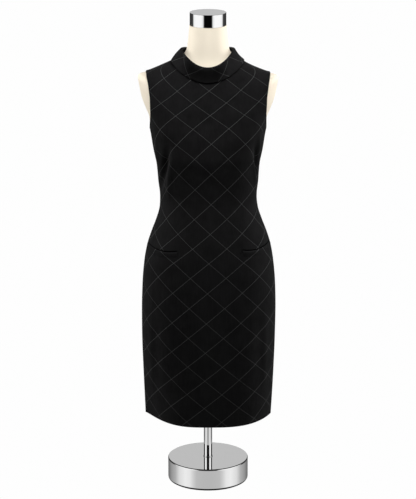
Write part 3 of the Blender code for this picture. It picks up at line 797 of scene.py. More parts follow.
@dataclass(frozen=True)
class WindowpaneLayout:
    """Where the cloth's windowpane falls on the panels."""

    crossings: tuple[Crossing, ...] = CROSSINGS
    mouths: tuple[PocketMouth, ...] = MOUTHS
    left_stretch: float = 0.085  # the front's share of stretch beyond left_from
    left_from: float = 0.100

    def chart(self, around: np.ndarray, z: np.ndarray) -> np.ndarray:
        """The windowpane's two numbers at points of a panel.

        Args:
            around: distances round from the panel's middle.
            z: heights.

        Returns:
            Repeats across and repeats up, in pairs.
        """
        heights = np.array([row.z for row in self.crossings])
        droop = np.interp(z, heights, [row.droop for row in self.crossings])
        tilt = np.interp(z, heights, [row.tilt for row in self.crossings])
        level = z + droop * (np.abs(around) / 0.1) ** 2 - tilt * around
        middle = smooth_curve(level, heights, np.array([row.x for row in self.crossings]))
        repeat = smooth_curve(level, heights, np.array([row.repeat for row in self.crossings]))
        up = smooth_curve(level, heights, np.arange(len(self.crossings)) / 2)
        return np.stack([(around - middle) / repeat, up], axis=-1)

    def front_chart(self, points: np.ndarray, around: np.ndarray) -> np.ndarray:
        """The same for the front, with the cloth drawn aside under the pockets.

        Args:
            points: places on the front or on a welt.
            around: distances round from the centre front.

        Returns:
            Repeats across and repeats up, in pairs.
        """
        x, z = points[..., 0], points[..., 2]
        moved = sum(mouth.pulled(x, z) for mouth in self.mouths)
        moved += self.left_stretch * np.maximum(around - self.left_from, 0.0)
        return self.chart(around - moved, z)


# ---- mesh helpers

WELD = 1e-6  # metres within which points are one


def grid_piece(name: str, points: np.ndarray, charts: dict[str, np.ndarray]) -> bpy.types.Object:
    """A bent grid.

    Args:
        name: the piece's name.
        points: its places, one row for each level.
        charts: UV maps by name, a pair for each place.

    Returns:
        The piece.
    """
    rows, columns = points.shape[:2]
    shape = bmesh.new()
    bmesh.ops.create_grid(shape, x_segments=columns - 1, y_segments=rows - 1, size=1.0)
    mesh = bpy.data.meshes.new(name)
    shape.to_mesh(mesh)
    shape.free()
    flat = np.empty(len(mesh.vertices) * 3)
    mesh.vertices.foreach_get("co", flat)
    flat = flat.reshape(-1, 3)
    column = np.rint((flat[:, 0] + 1) / 2 * (columns - 1)).astype(int)
    row = np.rint((flat[:, 1] + 1) / 2 * (rows - 1)).astype(int)
    corners = np.empty(len(mesh.loops), dtype=np.int32)
    mesh.loops.foreach_get("vertex_index", corners)
    for chart_name, chart in charts.items():
        layer = mesh.uv_layers.new(name=chart_name)
        layer.uv.foreach_set("vector", chart[row, column][corners].astype(np.float32).ravel())
    mesh.vertices.foreach_set("co", points[row, column].astype(np.float32).ravel())
    mesh.update()
    return linked(name, mesh)


def closed_piece(
    name: str, points: np.ndarray, charts: dict[str, np.ndarray], angle: float = 50.0
) -> bpy.types.Object:
    """A bent grid that is welded where its places coincide and filled where it is left open.

    Args:
        name: the piece's name.
        points: its places, one row for each level.
        charts: UV maps by name, a pair for each place.
        angle: degrees up to which it is shaded smooth.

    Returns:
        The piece.
    """
    made = grid_piece(name, points, charts)
    shape = bmesh.new()
    shape.from_mesh(made.data)
    bmesh.ops.remove_doubles(shape, verts=shape.verts[:], dist=WELD)
    bmesh.ops.holes_fill(shape, edges=[edge for edge in shape.edges if edge.is_boundary], sides=0)
    bmesh.ops.recalc_face_normals(shape, faces=shape.faces[:])
    shape.to_mesh(made.data)
    shape.free()
    made.data.shade_smooth()
    made.data.set_sharp_from_angle(angle=math.radians(angle))
    return made


def linked(name: str, mesh: bpy.types.Mesh, angle: float = 0.0) -> bpy.types.Object:
    """Puts a mesh in the scene.

    Args:
        name: the piece's name.
        mesh: its mesh.
        angle: degrees up to which it is shaded smooth, or 0 for all of it.

    Returns:
        The piece.
    """
    mesh.shade_smooth()
    if angle:
        mesh.set_sharp_from_angle(angle=math.radians(angle))
    made = bpy.data.objects.new(name, mesh)
    bpy.context.scene.collection.objects.link(made)
    return made


def piece_from(name: str, shape: bmesh.types.BMesh, angle: float = 35.0) -> bpy.types.Object:
    """Makes a piece from a finished bmesh.

    Args:
        name: the piece's name.
        shape: its bmesh, which is freed.
        angle: degrees up to which it is shaded smooth.

    Returns:
        The piece.
    """
    mesh = bpy.data.meshes.new(name)
    shape.to_mesh(mesh)
    shape.free()
    return linked(name, mesh, angle)


def thicken(piece: bpy.types.Object, thickness: float, rim: float = 0.0) -> None:
    """Gives a sheet its thickness, inwards, and rounds its cut edges.

    Args:
        piece: the sheet.
        thickness: in metres.
        rim: the width of the rounding, or 0 for none.
    """
    wall = piece.modifiers.new("thickness", "SOLIDIFY")
    wall.thickness = thickness
    wall.offset = -1.0
    wall.use_quality_normals = True
    if rim:
        edges = piece.modifiers.new("rim", "BEVEL")
        edges.width = rim
        edges.segments = 2
        edges.limit_method = "ANGLE"
        edges.angle_limit = math.radians(60)


def spun(name: str, profile: Sequence[tuple[float, float]], steps: int) -> bpy.types.Object:
    """A profile of (radius, height) turned about Z.

    Args:
        name: the piece's name.
        profile: from top to bottom down the outer side.
        steps: round the turn.

    Returns:
        The piece.
    """
    shape = bmesh.new()
    points = [shape.verts.new((radius, 0.0, z)) for radius, z in profile]
    geom = points + [shape.edges.new(pair) for pair in zip(points, points[1:])]
    turn = {"cent": (0, 0, 0), "axis": (0, 0, 1), "angle": 2 * math.pi, "steps": steps}
    bmesh.ops.spin(shape, geom=geom, use_merge=True, **turn)
    bmesh.ops.remove_doubles(shape, verts=shape.verts[:], dist=WELD)
    bmesh.ops.recalc_face_normals(shape, faces=shape.faces[:])
    return piece_from(name, shape)


def rounded(
    corners: Sequence[tuple[float, float, float]], steps: int = 4, hold: float = 1.15
) -> list[tuple[float, float]]:
    """A profile with round corners.

    Args:
        corners: (radius, height, rounding) from top to bottom.
        steps: points in each rounding.
        hold: where the points lie that keep the faces beside a rounding flat, in roundings.

    Returns:
        The profile as (radius, height).
    """
    line: list[tuple[float, float]] = []
    for i, (radius, z, rounding) in enumerate(corners):
        here = Vector((radius, z))
        if not rounding:
            line.append((radius, z))
            continue
        before = (Vector(corners[i - 1][:2]) - here).normalized() * rounding
        after = (Vector(corners[i + 1][:2]) - here).normalized() * rounding
        curve = [here + before * (1 - k / steps) ** 2 + after * (k / steps) ** 2 for k in range(steps + 1)]
        line.extend(tuple(point) for point in (here + before * hold, *curve, here + after * hold))
    return line


def dress(piece: bpy.types.Object, finish: bpy.types.Material, slot: Slot, *nodes: str, body: str = ROOT) -> None:
    """Gives a piece its finish, its body and the nodes that it stands for.

    Args:
        piece: the finished piece.
        finish: its material.
        slot: the record's slot, which is not used.
        nodes: the CAD nodes that it replaces.
        body: the CAD body that it rides on.
    """
    piece.data.materials.clear()
    piece.data.materials.append(finish)
    if nodes:
        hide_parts(*nodes)
    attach(piece, body)
    log.info("%s: %d faces", piece.name, len(piece.data.polygons))


# ---- the dress


@dataclass(frozen=True)
class WeltStep:
    """A place on a welt's section, in millimetres, from inside the pocket to the lower edge."""

    below: float  # under the pocket's mouth
    out: float  # from the front's face


WELT_SECTION = (
    WeltStep(3.0, -0.35),
    WeltStep(1.6, -0.35),
    WeltStep(0.7, -0.30),
    WeltStep(0.2, -0.10),
    WeltStep(0.0, 0.15),
    WeltStep(0.1, 0.45),
    WeltStep(0.5, 0.75),
    WeltStep(1.3, 1.20),
    WeltStep(2.5, 1.80),
    WeltStep(3.8, 2.15),
    WeltStep(5.2, 2.15),
    WeltStep(8.5, 1.65),
    WeltStep(12.0, 1.05),
    WeltStep(13.3, 0.72),
    WeltStep(14.0, 0.40),
    WeltStep(14.5, 0.40),
    WeltStep(15.0, 0.55),
    WeltStep(15.3, 0.45),
)


@dataclass(frozen=True)
class CollarLine:
    """A line round the collar: its radius and height at the side, front and back."""

    lean: float  # how much further it reaches on the left than on the right, halved
    side_radius: float
    side_z: float
    front_radius: float
    front_z: float
    back_radius: float
    back_z: float

    def at(self, turns: np.ndarray) -> np.ndarray:
        """(radius, height) at turns in degrees from the centre front.

        Args:
            turns: the turns.

        Returns:
            A pair for each.
        """
        side, ahead = np.sin(np.radians(turns)), np.cos(np.radians(turns))
        in_front = ahead >= 0
        middle_radius = np.where(in_front, self.front_radius, self.back_radius)
        middle_z = np.where(in_front, self.front_z, self.back_z)
        side_radius = self.side_radius + self.lean * np.sign(side)
        radius = 1 / np.hypot(side / side_radius, ahead / middle_radius)
        share = radius * np.abs(side) / side_radius
        return np.stack([radius, middle_z + (self.side_z - middle_z) * share**RISE], axis=-1)


COLLAR_EDGE = CollarLine(-0.0008, 0.0962, 1.1644, 0.0978, 1.1232, 0.0935, 1.1500)


@dataclass
class SheathDress:
    """The front, the two backs and the two pocket welts."""

    shape: WornShape
    layout: WindowpaneLayout
    cloth: bpy.types.Material
    wall: float = 0.0012
    seam_gap: float = 0.0003
    welt_wall: float = 0.0003
    welt_length: float = 0.10
    welt_end_press: float = 0.0003
    welt_end_width: float = 0.0005
    welt_shift: float = 0.0006  # how much lower a welt's windowpane is read
    welt_outer_turn: float = 87.0
    outer_press: float = 0.55  # how much flatter a welt lies at its outer end
    seam_press: float = 0.0007  # how far a pressed seam sinks
    seam_width: float = 0.0022
    hem_turn: float = 0.030
    hem_fold: float = 0.0015  # radius of the hem's turned edge
    slit_top: float = 0.350
    slit_opening: float = 0.0036
    seam_ease: float = 0.012  # how far from the centre back the cloth is moved for the slit
    back_press: float = 1.2  # how much deeper the centre-back seam sinks
    rim: float = 0.0004
    mouth_band: tuple[float, float] = (0.6600, 0.6790)
    mouth_depth: float = 0.0032
    mouth_roll: float = 0.0034
    # the shadow painted in a pocket's mouth: how high above its edge it reaches, and how much higher at the outer
    # end
    mouth_shadow_height: float = 0.0027
    end_shadow_height: float = 0.0014
    mouth_start: float = -0.01  # where the mouth begins, as a share of its length
    lip_gap: float = 0.0002
    welt_bed: float = 0.0135  # how far under the mouth the front is sunk for the welt
    bed_rise: float = 0.0070
    # the painted shadow's soft top edge, and how far below the mouth's edge it goes
    mouth_shadow_blur: float = 0.0008
    mouth_shadow_foot: float = -0.006
    collar_edge: CollarLine = COLLAR_EDGE
    collar_shadow: float = 0.95  # how dark the shadow painted close under the collar is
    # how far below the collar's edge the painted shadow reaches
    shadow_reach: float = 0.0054
    hip_z: float = 0.5  # where the rows get closer
    skirt_rows: int = 60
    hip_rows: int = 28
    mouth_rows: int = 26
    bodice_rows: int = 60
    armhole_rows: int = 46
    shoulder_rows: int = 18
    front_columns: int = 108
    back_columns: int = 54
    edge_steps: tuple[float, ...] = (0.0006, 0.0014, 0.0026, 0.0045)

    def panel_ways(self) -> np.ndarray:
        """The rows of every panel as distances from the hem.

        Returns:
            The distances, rising.
        """
        ways = self.shape.ways
        hip = self.shape.way_at_height(self.hip_z)
        bend = (1 - np.cos(np.linspace(0, math.pi, self.armhole_rows + 1))) / 2
        armhole = ways[UNDERARM] + bend * (ways[SHOULDER_TIP] - ways[UNDERARM])
        marks = (self.edge_steps[-1], hip, *self.shape.way_at_height(np.array(self.mouth_band)), ways[UNDERARM])
        rows = spans(marks, (self.skirt_rows, self.hip_rows, self.mouth_rows, self.bodice_rows))
        shoulder = np.linspace(ways[SHOULDER_TIP], ways[NECKLINE], self.shoulder_rows + 1)[1:]
        return np.concatenate([[0.0, *self.edge_steps[:-1]], *rows, armhole, shoulder])

    def with_hem(self, face: np.ndarray, around: np.ndarray) -> tuple[np.ndarray, np.ndarray]:
        """Adds the hem that is turned up inside.

        Args:
            face: the panel's outer face.
            around: its distances round.

        Returns:
            The face and the distances, with the hem's rows before them.
        """
        into = -outward(face)[0]
        into[:, 2] = 0.0
        into /= np.linalg.norm(into, axis=1, keepdims=True)
        rows = []
        for rise in np.linspace(self.hem_turn, self.hem_fold, 6):
            rows.append(face[0] + into * 2 * self.hem_fold + (0.0, 0.0, rise))
        for angle in np.radians((-30.0, -60.0, -90.0, -120.0, -150.0)):
            away = self.hem_fold * (1 + math.cos(angle))
            drop = self.hem_fold * (1 + math.sin(angle))
            rows.append(face[0] + into * away + (0.0, 0.0, drop))
        hem = np.array(rows)
        return np.concatenate([hem, face]), np.concatenate([np.repeat(around[:1], len(rows), axis=0), around])

    def pressed(self, face: np.ndarray, around: np.ndarray) -> np.ndarray:
        """How far the side and shoulder seams sink at each point.

        Args:
            face: the panel's outer face.
            around: its distances round.

        Returns:
            The depths.
        """
        depth = np.zeros(face.shape[:2])
        for column in (0, -1):
            edge = np.abs(face[:, column, 1]) < 0.001
            away = np.abs(around - around[:, column, None])
            depth += self.seam_press * edge[:, None] * np.exp(-((away / self.seam_width) ** 2))
        return depth

    def front_face(self) -> tuple[np.ndarray, np.ndarray]:
        """The front's outer face.

        Returns:
            The face, and its distances round from the centre front.
        """
        ways = self.panel_ways()
        first = np.array([self.shape.seam_turn(way, 0.0, -1) for way in ways])
        last = np.array([self.shape.seam_turn(way, 0.0, 1) for way in ways])
        shares = shares_with_close_ends(self.front_columns, 0.45, self.edge_steps)
        face, around = self.shape.strip(ways, first, last, shares, 0.0)
        depth = sum(fold.depths(around, face[..., 2]) for fold in FRONT_FOLDS) + self.pressed(face, around)
        depth += sum(self.turned_in(mouth, face[..., 0], face[..., 2]) for mouth in MOUTHS)
        face = face - outward(face) * depth[..., None]
        face[..., 1] = np.minimum(face[..., 1], -self.seam_gap / 2)
        return face, around

    def turned_in(self, mouth: PocketMouth, x: np.ndarray, z: np.ndarray) -> np.ndarray:
        """How far the front sinks at a pocket's mouth and behind its welt.

        Args:
            mouth: the pocket's mouth.
            x: the points' places.
            z: their heights.

        Returns:
            The depths.
        """
        above = z - mouth.edge_z(x)
        along = mouth.along(x)
        inside = np.clip((along - self.mouth_start) / 0.03, 0.0, 1.0) * (mouth.side.value * x > 0)
        lip = np.clip(1 - (above - self.lip_gap) / self.mouth_roll, 0.0, 1.0) ** 1.5
        behind = np.clip((above + self.welt_bed) / self.bed_rise, 0.0, 1.0)
        return self.mouth_depth * inside * np.where(above > self.lip_gap, lip, behind**2 * (3 - 2 * behind))

    def painted_mouth_shadow(self, mouth: PocketMouth, x: np.ndarray, z: np.ndarray) -> np.ndarray:
        """Where shadow is painted in the pocket's mouth, between its two edges.

        Args:
            mouth: the pocket's mouth.
            x: the points' places.
            z: their heights.

        Returns:
            1 where the painted shadow is full and 0 where there is none.
        """
        above = z - mouth.edge_z(x)
        along = mouth.along(x)
        gape = self.mouth_shadow_height + self.end_shadow_height * mouth.outer_end(x)
        shown = np.clip((gape - above) / self.mouth_shadow_blur, 0.0, 1.0) * (above > self.mouth_shadow_foot)
        return shown * np.clip((along - self.mouth_start) / 0.02, 0.0, 1.0) * (mouth.side.value * x > 0)

    def under_collar(self, face: np.ndarray) -> np.ndarray:
        """How much shadow is painted on a panel close under the collar's edge.

        Args:
            face: the panel's points.

        Returns:
            The shade at each, from 0 to 1.
        """
        turns = np.degrees(np.arctan2(face[..., 0], -face[..., 1]))
        below = self.collar_edge.at(turns)[..., 1] - face[..., 2]
        return self.collar_shadow * np.clip((self.shadow_reach - below) / 0.002, 0.0, 1.0)

    def back_face(self, side: Side) -> tuple[np.ndarray, np.ndarray]:
        """A back's outer face and its distances round from the centre back.

        Args:
            side: the wearer's side.

        Returns:
            The face and the distances, signed as X is.
        """
        sign = side.value
        ways = self.panel_ways()
        first = np.array([self.shape.seam_turn(way, 180.0, sign) for way in ways])
        last = np.full(len(ways), sign * 180.0)
        shares = shares_with_close_ends(self.back_columns, 0.24, self.edge_steps)
        face, around = self.shape.strip(ways, first, last, shares, sign * 180.0)
        around = -sign * around
        away = np.abs(around)
        depth = sum(fold.depths(away, face[..., 2]) for fold in BACK_FOLDS) + self.pressed(face, around)
        depth += self.seam_press * self.back_press * np.exp(-((away / self.seam_width) ** 2))
        face = face - outward(face[:, ::sign])[:, ::sign] * depth[..., None]
        opened = np.clip((self.slit_top - face[:, -1, 2]) / (self.slit_top - face[0, -1, 2]), 0, 1)
        seam_x = (self.seam_gap + self.slit_opening * opened) / 2
        near = np.exp(-((away / self.seam_ease) ** 2))
        face[..., 0] = sign * (np.abs(face[..., 0]) + seam_x[:, None] * near)
        face[..., 1] = np.maximum(face[..., 1], self.seam_gap / 2)
        return face[:, ::sign], around[:, ::sign]

    def panel(self, name: str, face: np.ndarray, around: np.ndarray, front: bool) -> bpy.types.Object:
        """A finished panel.

        Args:
            name: the piece's name.
            face: its outer face.
            around: its distances round.
            front: True for the front, which has the pockets.

        Returns:
            The piece.
        """
        turned, wide = self.with_hem(face, around)
        chart = self.layout.front_chart(turned, wide) if front else self.layout.chart(wide, turned[..., 2])
        # painted shadow: in the pocket mouths on the front, and close under the collar's edge on every panel
        painted_shade_share = sum(self.painted_mouth_shadow(mouth, turned[..., 0], turned[..., 2]) for mouth in MOUTHS) * front
        painted_shade_share = np.maximum(painted_shade_share, self.under_collar(turned))
        charts = {WINDOWPANE_CHART: chart, PAINTED_SHADE_CHART: np.stack([painted_shade_share, painted_shade_share * 0.0], axis=-1)}
        made = grid_piece(name, turned, charts)
        thicken(made, self.wall, self.rim)
        return made

    def build(self) -> dict[str, bpy.types.Object]:
        """Builds the panels and the welts.

        Returns:
            The pieces by name.
        """
        front, around = self.front_face()
        made = {"front_cloth": self.panel("front_cloth", front, around, True)}
        dress(made["front_cloth"], self.cloth, Slot.CLOTH, "dress_front")
        for side, name, node in (
            (Side.LEFT, "back_cloth_left", "dress_back_left"),
            (Side.RIGHT, "back_cloth_right", "dress_back_right"),
        ):
            face, around = self.back_face(side)
            made[name] = self.panel(name, face, around, False)
            dress(made[name], self.cloth, Slot.CLOTH, node)
        for mouth, name, node in zip(MOUTHS, ("welt_left", "welt_right"), ("pocket_welt_left", "pocket_welt_right")):
            made[name] = self.welt(name, mouth)
            dress(made[name], self.cloth, Slot.CLOTH, node)
        return made

    def welt(self, name: str, mouth: PocketMouth) -> bpy.types.Object:
        """A pocket welt: folded over at the mouth, and stitched down along its lower edge.

        Args:
            name: the piece's name.
            mouth: the pocket's mouth.

        Returns:
            The piece.
        """
        sign = mouth.side.value
        drops, lifts = (np.array(column) / 1000 for column in zip(*(astuple(step) for step in WELT_SECTION)))
        middle_way = self.shape.way_at_height(mouth.inner_z - 0.007)
        half_width = float(self.shape.at(np.array([middle_way]))[0, 1])
        inner = math.degrees(math.asin(mouth.inner_x / half_width))
        shares = shares_with_close_ends(40, self.welt_length, (0.0004, 0.0010))
        turns = sign * (inner + (self.welt_outer_turn - inner) * shares)
        if mouth.side is Side.RIGHT:
            turns = turns[::-1]
        across = half_width * np.sin(np.radians(turns))
        z = mouth.edge_z(across)[None, :] - drops[::-1, None]
        ways = self.shape.way_at_height(z)
        spread = np.broadcast_to(turns, ways.shape)
        face = self.shape.places(ways, spread)
        around = self.shape.round_from_front(ways, spread)
        ends = np.minimum(shares, 1 - shares) * self.welt_length
        pressed = self.welt_end_press * np.exp(-((ends / self.welt_end_width) ** 2))
        lying = 1 - self.outer_press * mouth.outer_end(across)
        lift = np.where(lifts > 0, lifts, 0.0)[::-1, None] * lying + np.minimum(lifts, 0.0)[::-1, None] - pressed
        level_rows = ways[0] + np.array([[0.0], [0.004], [0.008]])
        smooth = outward(self.shape.places(level_rows, spread[:3]))[1]
        face = face + smooth[None] * lift[..., None]
        chart = self.layout.front_chart(face - (0.0, 0.0, self.welt_shift), around)
        made = grid_piece(name, face, {WINDOWPANE_CHART: chart})
        thicken(made, self.welt_wall)
        return made


@dataclass
class RollCollar:
    """The bias collar that stands, rolls over and falls, split at the centre back."""

    cloth: bpy.types.Material
    seam: CollarLine = CollarLine(0.0, 0.0838, 1.1686, 0.0850, 1.1362, 0.0798, 1.1592)
    crest: CollarLine = CollarLine(-0.0010, 0.0690, 1.1955, 0.0760, 1.1600, 0.0700, 1.1835)
    edge: CollarLine = COLLAR_EDGE
    wall: float = 0.0018
    roll_radius: float = 0.0032
    columns: int = 181
    split: float = 0.0003
    line_slope: float = 700.0  # degrees round for each metre down the fall
    falling_lines: tuple[float, ...] = (-228.0, -172.0, -116.0, -60.0, 3.7, 46.5, 100.0, 156.0, 212.0)
    rising_lines: tuple[float, ...] = (-213.0, -158.0, -103.0, -49.0, -6.5, 47.0, 102.0, 157.0, 213.0)
    right_bulge: float = 0.0012
    left_bulge: float = -0.0022
    shade: float = 0.74  # how dark the shade painted on the fall's front is, where it faces the floor in front
    shade_turn: float = -8.0  # degrees round to the middle of that shade
    shade_round: tuple[tuple[float, ...], ...] = ((25.0, 33.0, 45.0), (1.0, 0.6, 0.0))  # degrees and share
    shade_down: tuple[tuple[float, ...], ...] = ((0.002, 0.007, 0.013, 0.026, 0.040), (0.0, 0.5, 1.0, 1.0, 0.72))
    edge_points: int = 7  # places of the section's cut edge and just behind it, which are painted in full shadow

    def section(
        self, seam: np.ndarray, crest: np.ndarray, edge: np.ndarray, bulge: float
    ) -> tuple[np.ndarray, np.ndarray]:
        """The collar's cut edge as a closed outline.

        Args:
            seam: (radius, height) of the neck seam.
            crest: of the roll's top.
            edge: of the fall's edge.
            bulge: how far the fall rounds outwards.

        Returns:
            The outline, and each point's distance along the cloth from the crest.
        """
        half = self.wall / 2
        centre = crest - (0.0, half + self.roll_radius)
        edge = edge - (half, 0.0)
        seam_lean = math.atan2(seam[0] - centre[0], centre[1] - seam[1])
        edge_lean = math.atan2(edge[0] - centre[0], centre[1] - edge[1])
        angles = np.linspace(math.pi + seam_lean, edge_lean, 13)
        roll = centre + self.roll_radius * np.stack([np.cos(angles), np.sin(angles)], axis=-1)
        stand = seam + (roll[0] - seam) * np.linspace(0, 1, 7)[:-1, None]
        fall = roll[-1] + (edge - roll[-1]) * np.linspace(0, 1, 13)[1:, None]
        rounding = np.sin(math.pi * np.linspace(0, 1, 13)[1:]) * bulge
        fall_way = (edge - roll[-1]) / np.linalg.norm(edge - roll[-1])
        fall = fall + rounding[:, None] * np.array([-fall_way[1], fall_way[0]])
        middle = np.concatenate([stand, roll, fall])
        along = np.gradient(middle, axis=0)
        along /= np.linalg.norm(along, axis=1, keepdims=True)
        normal = np.stack([-along[:, 1], along[:, 0]], axis=-1) * half
        walked = np.concatenate([[0.0], np.cumsum(np.linalg.norm(np.diff(middle, axis=0), axis=1))])
        walked -= walked[len(stand) + len(roll) // 2]
        tip = middle[-1] + along[-1] * half * np.array([[0.7], [1.0], [0.7]])
        tip = tip + normal[-1] * np.array([[0.7], [0.0], [-0.7]])
        outline = np.concatenate([middle + normal, tip, (middle - normal)[::-1]])
        distance = np.concatenate([walked, np.full(3, walked[-1]), walked[::-1]])
        return outline, distance

    def shaded(self, turn: float, distance: np.ndarray) -> np.ndarray:
        """How much shade is painted on the section at each place.

        Args:
            turn: degrees from the centre front.
            distance: how far each place is from the crest along the cloth.

        Returns:
            The shade, from 0 to 1.
        """
        middle = float(np.interp(abs(turn - self.shade_turn), *self.shade_round))
        down = np.interp(distance, *self.shade_down)
        shade = self.shade * middle * down
        tip = int(np.argmax(distance)) + 1
        shade[tip : tip + self.edge_points] = 1.0
        return shade

    def build(self) -> bpy.types.Object:
        """Sweeps the section round the neck.

        Returns:
            The piece.
        """
        half_split = math.degrees(self.split / self.crest.back_radius)
        turns = np.linspace(-180 + half_split, 180 - half_split, self.columns)
        lines = [line.at(turns) for line in (self.seam, self.crest, self.edge)]
        points, chart, shadow = [], [], []
        leftness = np.clip(np.sin(np.radians(turns)), 0, 1) ** 3
        bulges = self.right_bulge + (self.left_bulge - self.right_bulge) * leftness
        numbers = np.arange(len(self.falling_lines)) - 4.0
        for turn, bulge, seam, crest, edge in zip(turns, bulges, *lines):
            outline, distance = self.section(seam, crest, edge, bulge)
            radius, z = outline.T
            sine, cosine = math.sin(math.radians(turn)), math.cos(math.radians(turn))
            points.append(np.stack([radius * sine, -radius * cosine, z], axis=-1))
            falling = np.interp(turn - self.line_slope * distance, self.falling_lines, numbers)
            rising = np.interp(turn + self.line_slope * distance, self.rising_lines, numbers)
            chart.append(np.stack([(falling + rising) / 2, (falling - rising) / 2], axis=-1))
            # the painted shade goes into the shade chart
            shadow.append(np.stack([self.shaded(turn, distance), distance * 0.0], axis=-1))
        grid, uv, painted_shade = (
            np.concatenate([rows, rows[:, :1]], axis=1).transpose(1, 0, 2)[::-1]
            for rows in (np.array(points), np.array(chart), np.array(shadow))
        )
        made = closed_piece("collar_cloth", grid, {WINDOWPANE_CHART: uv, PAINTED_SHADE_CHART: painted_shade})
        dress(made, self.cloth, Slot.CLOTH, "collar")
        return made


# ---- the zip


@dataclass
class ConcealedZip:
    """The slider at the top of the closed centre-back seam, and its pull."""

    shape: WornShape
    enamel: bpy.types.Material
    slider_z: float = 1.1405
    standoff: float = 0.0009
    slider_length: float = 0.0090
    slider_width: float = 0.0050
    slider_thick: float = 0.0012
    corner_round: float = 0.0014
    edge_round: float = 0.0002
    arch_radius: float = 0.00315
    arch_width: float = 0.0013
    arch_thick: float = 0.0009
    pull_length: float = 0.0190
    pull_width: float = 0.0046
    pull_thick: float = 0.0010
    eye_width: float = 0.0023
    eye_length: float = 0.0046
    pivot_height: float = 0.0025
    pull_lean: float = -7.0

    def place(self) -> Matrix:
        """Where the slider lies: X across, Y down the cloth, Z out of it.

        Returns:
            The slider's own frame.
        """
        rows = RINGS[UNDERARM : NECKLINE + 1]
        heights = [row.back_z for row in rows]
        depths = [row.back_depth for row in rows]
        z_low = self.slider_z - self.pull_length
        y_here, y_low = (float(np.interp(z, heights, depths)) for z in (self.slider_z, z_low))
        down = Vector((0, y_low - y_here, z_low - self.slider_z)).normalized()
        across = Vector((1, 0, 0))
        out = across.cross(down)
        place = Matrix((across, down, out)).transposed().to_4x4()
        place.translation = Vector((0, y_here, self.slider_z)) + out * self.standoff
        return place

    def slider(self) -> bpy.types.Object:
        """The slider's rounded plate and its arch.

        Returns:
            The piece.
        """
        shape = bmesh.new()
        bmesh.ops.create_cube(shape, size=1.0)
        bmesh.ops.scale(shape, vec=(self.slider_width, self.slider_length, self.slider_thick), verts=shape.verts[:])
        bmesh.ops.translate(shape, vec=(0, 0, self.slider_thick / 2), verts=shape.verts[:])
        upright = [e for e in shape.edges if abs(e.verts[0].co.z - e.verts[1].co.z) > self.slider_thick / 2]
        bevel_edges(shape, upright, self.corner_round, 4)
        bevel_edges(shape, shape.edges[:], self.edge_round, 2)
        half_x, inner = self.arch_width / 2, self.arch_radius - self.arch_thick / 2
        outer = self.arch_radius + self.arch_thick / 2
        foot_z = self.slider_thick / 2
        foot = ((-half_x, inner), (half_x, inner), (half_x, outer), (-half_x, outer))
        first = shape.faces.new([shape.verts.new((x, y, foot_z)) for x, y in foot])
        geom = [first, *first.edges, *first.verts]
        bmesh.ops.spin(shape, geom=geom, cent=(0, 0, foot_z), axis=(1, 0, 0), angle=math.pi, steps=14)
        bmesh.ops.recalc_face_normals(shape, faces=shape.faces[:])
        bmesh.ops.transform(shape, matrix=self.place(), verts=shape.verts[:])
        return piece_from("slider_plate", shape)

    def pull(self) -> bpy.types.Object:
        """The pull tab with its eye, leaning on the cloth.

        Returns:
            The piece.
        """
        shape = bmesh.new()
        middle, eye = self.pull_length / 2 - self.pull_thick / 2, self.pull_thick / 2 + self.eye_length / 2
        for width, length, y_middle, taper, square in (
            (self.pull_width, self.pull_length, middle, 0.16, 0.45),
            (self.eye_width, self.eye_length, eye, 0.0, 0.5),
        ):
            for vert in bmesh.ops.create_circle(shape, segments=32, radius=1.0)["verts"]:
                x, y = vert.co.x, vert.co.y
                narrow = 1 - taper + taper * (y + 1) / 2
                vert.co.x = math.copysign(abs(x) ** square, x) * width / 2 * narrow
                vert.co.y = y_middle + math.copysign(abs(y) ** square, y) * length / 2
        bmesh.ops.bridge_loops(shape, edges=shape.edges[:])
        bmesh.ops.solidify(shape, geom=shape.faces[:], thickness=self.pull_thick)
        bmesh.ops.recalc_face_normals(shape, faces=shape.faces[:])
        heights = [v.co.z for v in shape.verts]
        bmesh.ops.translate(shape, vec=(0, 0, -(min(heights) + max(heights)) / 2), verts=shape.verts[:])
        sharp = [e for e in shape.edges if len(e.link_faces) == 2 and e.calc_face_angle() > 1.0]
        bevel_edges(shape, sharp, self.edge_round, 2)
        hang = Matrix.Translation((0, 0, self.pivot_height)) @ Matrix.Rotation(math.radians(self.pull_lean), 4, "X")
        bmesh.ops.transform(shape, matrix=self.place() @ hang, verts=shape.verts[:])
        return piece_from("pull_tab", shape)

    def build(self) -> None:
        """Builds both pieces."""
        dress(self.slider(), self.enamel, Slot.ENAMEL, "zip_slider")
        dress(self.pull(), self.enamel, Slot.ENAMEL, "zip_pull", body=PULL_BODY)


def bevel_edges(shape: bmesh.types.BMesh, edges: list[bmesh.types.BMEdge], width: float, segments: int) -> None:
    """Rounds some of a shape's edges.

    Args:
        shape: the shape.
        edges: the edges.
        width: how wide the rounding is, in metres.
        segments: its steps.
    """
    style = {"offset_type": "OFFSET", "profile": 0.5, "affect": "EDGES", "material": -1, "clamp_overlap": True}
    bmesh.ops.bevel(shape, geom=edges, offset=width, segments=segments, **style)


# ---- form and stand


